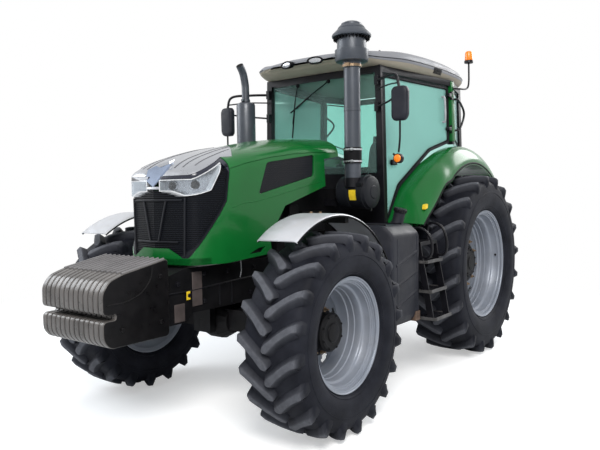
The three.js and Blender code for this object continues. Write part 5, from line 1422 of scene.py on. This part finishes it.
# ---------------------------------------------------------------- intake, exhaust, tank, steps, mirrors, beacon
def add_intake():
    body = "chassis"
    x, y = 0.616, 1.040
    pipe = Shape()
    pipe.turn([(1.826, 0.0), (1.826, 0.071), (2.400, 0.071), (2.402, 0.074), (2.420, 0.074), (2.422, 0.071),
               (2.770, 0.071), (2.775, 0.078), (2.822, 0.080), (2.824, 0.118), (2.828, 0.138), (2.842, 0.145),
               (2.925, 0.146), (2.930, 0.128), (3.035, 0.124), (3.040, 0.110), (3.030, 0.150), (3.036, 0.168),
               (3.048, 0.171), (3.060, 0.166), (3.092, 0.132), (3.108, 0.118), (3.112, 0.119), (3.130, 0.105),
               (3.136, 0.092), (3.152, 0.088), (3.166, 0.060), (3.174, 0.0)], "z", at(x, y, 0), 56)
    made = pipe.piece("snorkel_pipe", "grey_metal", body, 35)
    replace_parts(made, "snorkel")
    sleeve = Shape()
    sleeve.turn([(1.950, 0.0715), (1.950, 0.079), (2.088, 0.079), (2.088, 0.0715)], "z", at(x, y, 0), 48)
    sleeve.piece("snorkel_sleeve", "seal", body, 35)
    clamps = Shape()
    for z in (1.968, 2.070):
        clamps.turn([(z - 0.007, 0.079), (z - 0.007, 0.0825), (z + 0.007, 0.0825), (z + 0.007, 0.079)], "z",
                    at(x, y, 0), 48)
        clamps.tube([at(x + 0.02, y - 0.088, z), at(x + 0.065, y - 0.088, z)], 0.007, 8)
        clamps.box(at(x + 0.035, y - 0.094, z - 0.011), at(x + 0.050, y - 0.075, z + 0.011))
    clamps.piece("snorkel_clamps", "steel", body, 35)
    band = Shape()
    band.turn([(2.780, 0.079), (2.780, 0.083), (2.802, 0.083), (2.802, 0.079)], "z", at(x, y, 0), 48)
    band.box(at(x - 0.012, y - 0.100, 2.776), at(x + 0.030, y - 0.078, 2.806))
    for a in turns(18):
        band.stack(at(x + 0.0825 * math.cos(a), y + 0.0825 * math.sin(a), 2.791), (math.cos(a), math.sin(a), 0),
                   [(0, 0.005), (0.002, 0.0045)], 8)
    band.piece("snorkel_band", "bronze", body, 35)
    vanes = Shape()
    r0, r1 = 0.112, 0.158
    for a in turns(28):
        vanes.solid([[at(x + r * math.cos(a + d), y + r * math.sin(a + d), z) for r, d in
                      ((r0, -0.02), (r1, -0.012), (r1, 0.012), (r0, 0.02))] for z in (3.010, 3.034)])
    vanes.piece("precleaner_vanes", "seal", body, 0)
    drum = Shape()
    drum.turn([(0.4503, 0.0), (0.4503, 0.128), (0.466, 0.144), (0.560, 0.147), (0.562, 0.151), (0.578, 0.151),
               (0.580, 0.147),
               (0.700, 0.147), (0.702, 0.153), (0.722, 0.153), (0.724, 0.146), (0.750, 0.140), (0.762, 0.118),
               (0.764, 0.060), (0.770, 0.052), (0.771, 0.0)], "x", at(0, y + 0.100, 1.700), 56)
    made = drum.piece("air_cleaner_drum", "plastic", body, 30)
    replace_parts(made, "air_cleaner")
    rest = Shape()
    rest.turn([(1.745, 0.0), (1.745, 0.070), (1.8695, 0.071), (1.8695, 0.0)], "z", at(x, y, 0), 40)
    rest.box(at(0.2705, y + 0.05, 1.58), at(0.47, y + 0.15, 1.64))
    for a in (35, 155, 275):
        r = math.radians(a)
        c = at(0.712, y + 0.100 + 0.155 * math.cos(r), 1.700 + 0.155 * math.sin(r))
        rest.box(c - Vector((0.028, 0.012, 0.012)), c + Vector((0.022, 0.012, 0.012)))
    rest.piece("air_cleaner_fittings", "black", body, 35)
    label = Shape()
    label_edge = [(math.radians(-28 + 9 * k), 0.1470) for k in range(5)]
    label_edge += [(math.radians(8 - 9 * k), 0.1484) for k in range(5)]
    label.solid([[at(across, y + 0.100 - r * math.cos(t), 1.700 + r * math.sin(t)) for t, r in label_edge]
                 for across in (0.600, 0.668)])
    label.piece("air_cleaner_label", "yellow", body, 35)


def add_exhaust():
    body = "chassis"
    x, y = -0.616, 1.040
    can = Shape()
    can.turn([(1.690, 0.0), (1.690, 0.045), (1.742, 0.085), (1.755, 0.092), (2.180, 0.092), (2.182, 0.095),
              (2.200, 0.095),
              (2.202, 0.092), (2.570, 0.092), (2.584, 0.086), (2.604, 0.048), (2.604, 0.0)], "z", at(x, y, 0), 56)
    made = can.piece("muffler_can", "grey_metal", body, 35)
    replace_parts(made, "exhaust")
    stack = Shape()
    path = curve_through([at(x, y, 2.59), at(x, y, 2.70), at(x, y - 0.005, 2.78), at(x + 0.006, y - 0.040, 2.88),
                          at(x + 0.014, y - 0.095, 2.945)], 6)
    stack.tube(path, 0.037, 28)
    end = (path[-1] - path[-2]).normalized()
    mouth = Shape()
    mouth.stack(path[-1] - end * 0.004, end, [(0, 0.0335), (0.0046, 0.0335)], 28)
    mouth.piece("exhaust_mouth", "seal", body, 30)
    stack.piece("exhaust_stack", "grey_metal", body, 50)
    rest = Shape()
    rest.tube([at(x, y, 1.71), at(x, y, 1.62), at(x + 0.056, y, 1.53), at(-0.2705, y, 1.50)], 0.042, 20, smooth=6)
    rest.turn([(2.606, 0.0375), (2.606, 0.044), (2.628, 0.044), (2.628, 0.0375)], "z", at(x, y, 0), 40)
    rest.box(at(x - 0.006, y - 0.062, 2.608), at(x + 0.02, y - 0.042, 2.626))
    rest.piece("exhaust_feed", "grey_metal", body, 50)


def add_tank():
    body = "chassis"
    shape = Shape()
    outline = cornered([(0.520, 0.600), (0.520, 1.390), (0.550, 1.420), (0.990, 1.420), (1.080, 1.345), (1.080, 0.620),
                        (1.030, 0.560), (0.560, 0.560)], 0.035, 5)
    def ring(y, shrink):
        return [at(0.80 + (x - 0.80) * shrink, y, 0.99 + (z - 0.99) * shrink) for x, z in outline]
    stops = [(0.885, 0.94), (0.892, 0.975), (0.908, 0.993), (0.930, 1.0), (1.345, 1.0), (1.367, 0.993), (1.383, 0.975),
             (1.390, 0.94)]
    shape.solid([ring(y, f) for y, f in stops])
    made = shape.piece("tank_body", "grey_plastic", body, 32)
    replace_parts(made, "fuel_tank")
    ribs = Shape()
    for z in (0.76, 0.93, 1.10):
        ribs.solid([[at(1.079, y, zz), at(1.079, y, zz - 0.040), at(1.0865, y, zz - 0.022)]
                    for y, zz in ((0.960, z + 0.005), (1.16, z + 0.055), (1.335, z + 0.10))])
    for y in (0.985, 1.335):
        ribs.solid([[at(1.079, y - 0.016, z), at(1.079, y + 0.016, z), at(1.0835, y + 0.004, z),
                     at(1.0835, y - 0.004, z)]
                    for z in (0.64, 1.31)])
    ribs.piece("tank_ribs", "grey_plastic", body, 30)
    neck = Shape()
    way = (Vector((0.941, 0, 1.569)) - Vector((0.900, 0, 1.42))).normalized()
    foot = at(0.905, 1.300, 1.412)
    neck.stack(foot, way, [(0, 0.062), (0.012, 0.058), (0.030, 0.050), (0.120, 0.050), (0.124, 0.046)], 32)
    neck.piece("tank_neck", "grey_plastic", body, 35)
    cap = Shape()
    cap.stack(foot + way * 0.112, way, [(0, 0.0545), (0.004, 0.057), (0.030, 0.057), (0.034, 0.054), (0.036, 0.040)],
              32)
    side_way = way.orthogonal().normalized()
    for a in turns(16):
        spot = foot + way * 0.116 + (Matrix.Rotation(a, 3, way) @ side_way) * 0.057
        cap.tube([spot, spot + way * 0.026], 0.004, 6)
    cap.piece("tank_cap", "black", body, 35)
    bracket = Shape()
    bracket.solid([[at(x, y, z) for y, z in ((1.285, 0.572), (1.375, 0.572), (1.375, 0.655), (1.300, 0.655))]
                   for x in (1.040, 1.089)])
    rounded(bracket.piece("tank_bracket", "bronze_dull", body, 30), 0.004, 2)
    strap = Shape()
    for y in (0.955, 1.235):
        strap.tube([at(x, y, z) for x, z in ((0.535, 1.4225), (0.985, 1.4225))], 0.006, 6)
    strap.piece("tank_straps", "black", body, 35)
    box_shape = Shape()
    outline = cornered([(-0.520, 0.640), (-0.520, 1.340), (-1.000, 1.340), (-1.040, 1.300), (-1.040, 0.640)], 0.02, 4)
    box_shape.plate(outline, lambda a, b, d: (a, d + AXLE, b), 0.945, 1.390)
    made = rounded(box_shape.piece("tool_box_case", "grey_plastic", body, 32), 0.010, 3, 50)
    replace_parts(made, "tool_box")
    lid = Shape()
    lid.box(at(-1.0455, 0.985, 0.70), at(-1.039, 1.350, 1.27))
    lid.box(at(-1.056, 1.02, 1.16), at(-1.044, 1.05, 1.22))
    rounded(lid.piece("tool_box_lid", "plastic", body, 30), 0.003, 2)


def add_steps(side):
    s = SIGNS[side]
    body = "chassis"
    low, high = 1.425, 1.765
    frame_shape = Shape()
    for y in (low + 0.007, high - 0.007):
        rings = [[at(s * (x + d), y + w, z)
                  for d, w in ((-0.030, -0.007), (0.030, -0.007), (0.030, 0.007), (-0.030, 0.007))]
                 for x, z in ((1.040, 1.240), (1.062, 1.10), (1.085, 1.000), (1.125, 0.80), (1.165, 0.562))]
        frame_shape.solid(rings)
    frame_shape.block(s, (0.60, 1.070), (low, high), (1.217, 1.2497))
    frame_shape.block(s, (0.53, 0.62), (low + 0.10, high - 0.10), (1.217, 1.2497))
    made = frame_shape.piece(f"ladder_frame_{side}", "black", body, 30)
    rounded(made, 0.002, 2)
    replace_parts(made, f"steps_{side}")
    treads, edges = Shape(), Shape()
    for x0, x1, z in ((0.965, 1.130, 1.060), (1.000, 1.170, 0.800), (1.040, 1.215, 0.560)):
        for k in range(6):
            a = x0 + (x1 - x0) * k / 6
            b = a + (x1 - x0) / 6 * 0.55
            treads.block(s, (a, b), (low + 0.014, high - 0.014), (z + 0.004, z + 0.022))
        edges.block(s, (x1 - 0.006, x1 + 0.004), (low + 0.014, high - 0.014), (z, z + 0.030))
        edges.block(s, (x0, x1), (low - 0.001, low + 0.008), (z, z + 0.028))
        edges.block(s, (x0, x1), (high - 0.008, high + 0.001), (z, z + 0.028))
    treads.piece(f"ladder_treads_{side}", "black", body, 30)
    rounded(edges.piece(f"ladder_edges_{side}", "step_edge", body, 30), 0.003, 2)
    loops = Shape()
    for y, grow in ((low + 0.012, 0.0), (high - 0.012, 0.03)):
        loop = [(0.985, 1.235), (0.985, 1.30 + grow), (1.000, 1.365 + grow), (1.060, 1.375 + grow),
                (1.130, 1.335 + grow),
                (1.170, 1.265), (1.172, 1.165), (1.140, 1.115), (1.075, 1.120)]
        loops.tube([at(s * x, y, z) for x, z in loop], 0.012, 10, smooth=5)
    loops.piece(f"ladder_loops_{side}", "black", body, 50)


def add_mirror(side):
    s = SIGNS[side]
    body = "chassis"
    y0 = 1.470
    head = Shape()
    outline = cornered([(0.925, 2.335), (0.945, 2.305), (1.050, 2.305), (1.078, 2.345), (1.082, 2.560), (1.055, 2.598),
                        (0.950, 2.598), (0.925, 2.570)], 0.035, 6)
    centre = Vector((1.002, 2.452))
    def ring(y, shrink):
        return [at(s * (centre.x + (x - centre.x) * shrink), y0 + y,
                   centre.y + (z - centre.y) * (1 - (1 - shrink) * 0.5))
                for x, z in outline]
    head.solid([ring(-0.258, 0.97), ring(-0.262, 1.0), ring(-0.290, 0.99), ring(-0.305, 0.93), ring(-0.313, 0.80),
                ring(-0.316, 0.55)])
    made = head.piece(f"mirror_head_{side}", "grey_plastic", body, 40)
    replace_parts(made, f"mirror_{side}")
    pane = Shape()
    pane.solid([ring(-0.2585, 0.90), ring(-0.2555, 0.90)])
    pane.piece(f"mirror_pane_{side}", "reflector", body, 40)
    arms = Shape()
    px = cab_side(y0, 2.70)
    arms.tube([at(s * (px - 0.004), y0 - 0.045, 2.720), at(s * 0.800, y0 - 0.140, 2.722),
               at(s * 0.955, y0 - 0.268, 2.700),
               at(s * 1.000, y0 - 0.287, 2.575)], 0.0125, 12, smooth=6)
    arms.tube([at(s * px, y0 - 0.045, 2.480), at(s * 0.820, y0 - 0.150, 2.500), at(s * 0.945, y0 - 0.268, 2.520)],
              0.009, 10, smooth=6)
    arms.tube([at(s * px, y0 - 0.045, 2.640), at(s * 0.830, y0 - 0.160, 2.645), at(s * 0.975, y0 - 0.287, 2.625)],
              0.007, 10, smooth=6)
    arms.tube([at(s * 1.003, y0 - 0.287, 2.320), at(s * 1.000, y0 - 0.285, 2.150), at(s * 0.982, y0 - 0.275, 2.035)],
              0.009, 10, smooth=6)
    arms.tube([at(s * 0.972, y0 - 0.262, 1.975), at(s * 0.930, y0 - 0.230, 2.005), at(s * 0.900, y0 - 0.215, 2.030)],
              0.010, 10)
    for z in (2.480, 2.720):
        arms.block(s, (px - 0.020, px + 0.014), (y0 - 0.064, y0 - 0.0303), (z - 0.042, z + 0.042))
    arms.piece(f"mirror_arms_{side}", "black", body, 50)
    lamp = Shape()
    place = at(s * 0.975, y0 - 0.238, 1.985)
    lamp.stack(place, (0, -1, 0), [(0, 0.036), (0.006, 0.042), (0.046, 0.042), (0.052, 0.039), (0.050, 0.034)], 32)
    lamp.piece(f"side_lamp_ring_{side}", "black", body, 35)
    lens = Shape()
    lens.stack(place + Vector((0, -0.046, 0)), (0, -1, 0),
               [(0, 0.034), (0.006, 0.0335), (0.011, 0.026), (0.013, 0.012)], 32)
    lens.piece(f"side_lamp_{side}", "amber", body, 40)


def add_beacon():
    body = "chassis"
    x, y, z = 0.922, 2.920, 3.070
    lens = Shape()
    lens.turn([(z + 0.030, 0.0), (z + 0.030, 0.040), (z + 0.036, 0.0415), (z + 0.104, 0.0385), (z + 0.120, 0.034),
               (z + 0.128, 0.020),
               (z + 0.130, 0.0)], "z", at(x, y, 0), 40)
    made = lens.piece("beacon_lens", "amber", body, 35)
    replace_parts(made, "beacon")
    base = Shape()
    base.turn([(z, 0.0), (z, 0.040), (z + 0.004, 0.047), (z + 0.024, 0.048), (z + 0.030, 0.044), (z + 0.031, 0.0)],
              "z", at(x, y, 0), 40)
    fx = cab_side(2.66, 2.78) + 0.034
    base.tube([at(fx, 2.69, 2.78), at(fx + 0.060, 2.72, 2.775), at(x - 0.010, y - 0.045, 2.795),
               at(x, y - 0.002, 2.860), at(x, y, z + 0.004)],
              0.0095, 12, smooth=6)
    base.stack(at(fx - 0.004, 2.688, 2.78), (1, 0.3, 0), [(0, 0.028), (0.008, 0.028), (0.010, 0.024)], 20)
    base.piece("beacon_stalk", "black", body, 45)


def add_front_details():
    """Plates, labels, hoses and brackets about the bolster and along the engine."""
    body = "chassis"
    plates = Shape()
    for s in (1, -1):
        plates.block(s, (0.2695, 0.2765), (-0.565, -0.470), (0.905, 1.150))
        plates.block(s, (0.2695, 0.2765), (-0.735, -0.640), (0.815, 0.940))
    rounded(plates.piece("bolster_plates", "brown_grey", body, 30), 0.003, 2)
    lines = Shape()
    for s in (1, -1):
        x = s * 0.272
        lines.tube([at(x, -0.78, 1.020), at(x, -0.565, 1.020), at(x, -0.10, 1.045), at(x, 0.35, 1.06)], 0.006, 8)
        lines.tube([at(x, -0.29, 0.875), at(x, -0.29, 1.03)], 0.005, 8)
        lines.tube([at(x, -0.16, 0.875), at(x, -0.16, 1.035)], 0.005, 8)
        for y, z in ((-0.70, 1.08), (-0.60, 0.99), (-0.45, 0.93), (-0.45, 1.13), (-0.20, 1.12), (0.10, 1.12),
                     (0.30, 0.96),
                     (0.30, 1.12), (0.05, 0.93)):
            lines.bolt(at(s * 0.2695, y, z), (s, 0, 0), 0.015)
    lines.piece("bolster_lines", "black", body, 40)
    label = Shape()
    label.box(at(0.2765, -0.625, 0.960), at(0.2785, -0.590, 1.020))
    label.piece("bolster_label", "yellow", body, 0)
    hook = Shape()
    hook.tube([at(0.30, -0.085, 1.196), at(0.305, -0.085, 1.165), at(0.300, -0.080, 1.11), at(0.285, -0.075, 1.06)],
              0.004, 8, smooth=5)
    hook.piece("hood_stay_cable", "steel", body, 50)
    hoses = Shape()
    for s in (1, -1):
        hoses.tube([at(s * 0.26, 0.45, 1.35), at(s * 0.33, 0.55, 1.30), at(s * 0.35, 0.80, 1.22),
                    at(s * 0.30, 1.15, 1.20), at(s * 0.26, 1.28, 1.15)],
                   0.018, 12, smooth=8)
        hoses.tube([at(s * 0.26, 0.50, 0.95), at(s * 0.34, 0.60, 0.98), at(s * 0.36, 0.85, 1.02),
                    at(s * 0.28, 1.10, 1.06)], 0.014, 12, smooth=8)
        hoses.tube([at(s * 0.20, 0.02, 0.80), at(s * 0.30, 0.10, 0.86), at(s * 0.42, 0.11, 0.84),
                    at(s * 0.56, 0.10, 0.80)], 0.012, 12, smooth=8)
    hoses.piece("engine_hoses", "seal", body, 50)
    blocks = Shape()
    for s in (1, -1):
        for low, high in (((0.272, 0.52, 0.78), (0.325, 0.80, 0.98)), ((0.272, 0.86, 0.74), (0.315, 1.12, 0.90)),
                          ((0.272, 0.50, 1.40), (0.330, 0.62, 1.60)), ((0.272, 0.70, 1.36), (0.320, 1.02, 1.54))):
            blocks.block(s, *zip(low, high))
        canister = [(s * x, r) for x, r in ((0.272, 0.0), (0.272, 0.070), (0.300, 0.070), (0.305, 0.060),
                                            (0.360, 0.058), (0.366, 0.045), (0.368, 0.0))]
        blocks.turn(canister[::s], "x", at(0, 0.66, 1.14), 32)
    rounded(blocks.piece("engine_parts", "cast", body, 35), 0.006, 2)


add_intake()
add_exhaust()
add_tank()
for side in SIGNS:
    add_steps(side)
    add_mirror(side)
add_beacon()
add_front_details()


add_studio()
add_floor()
add_camera()
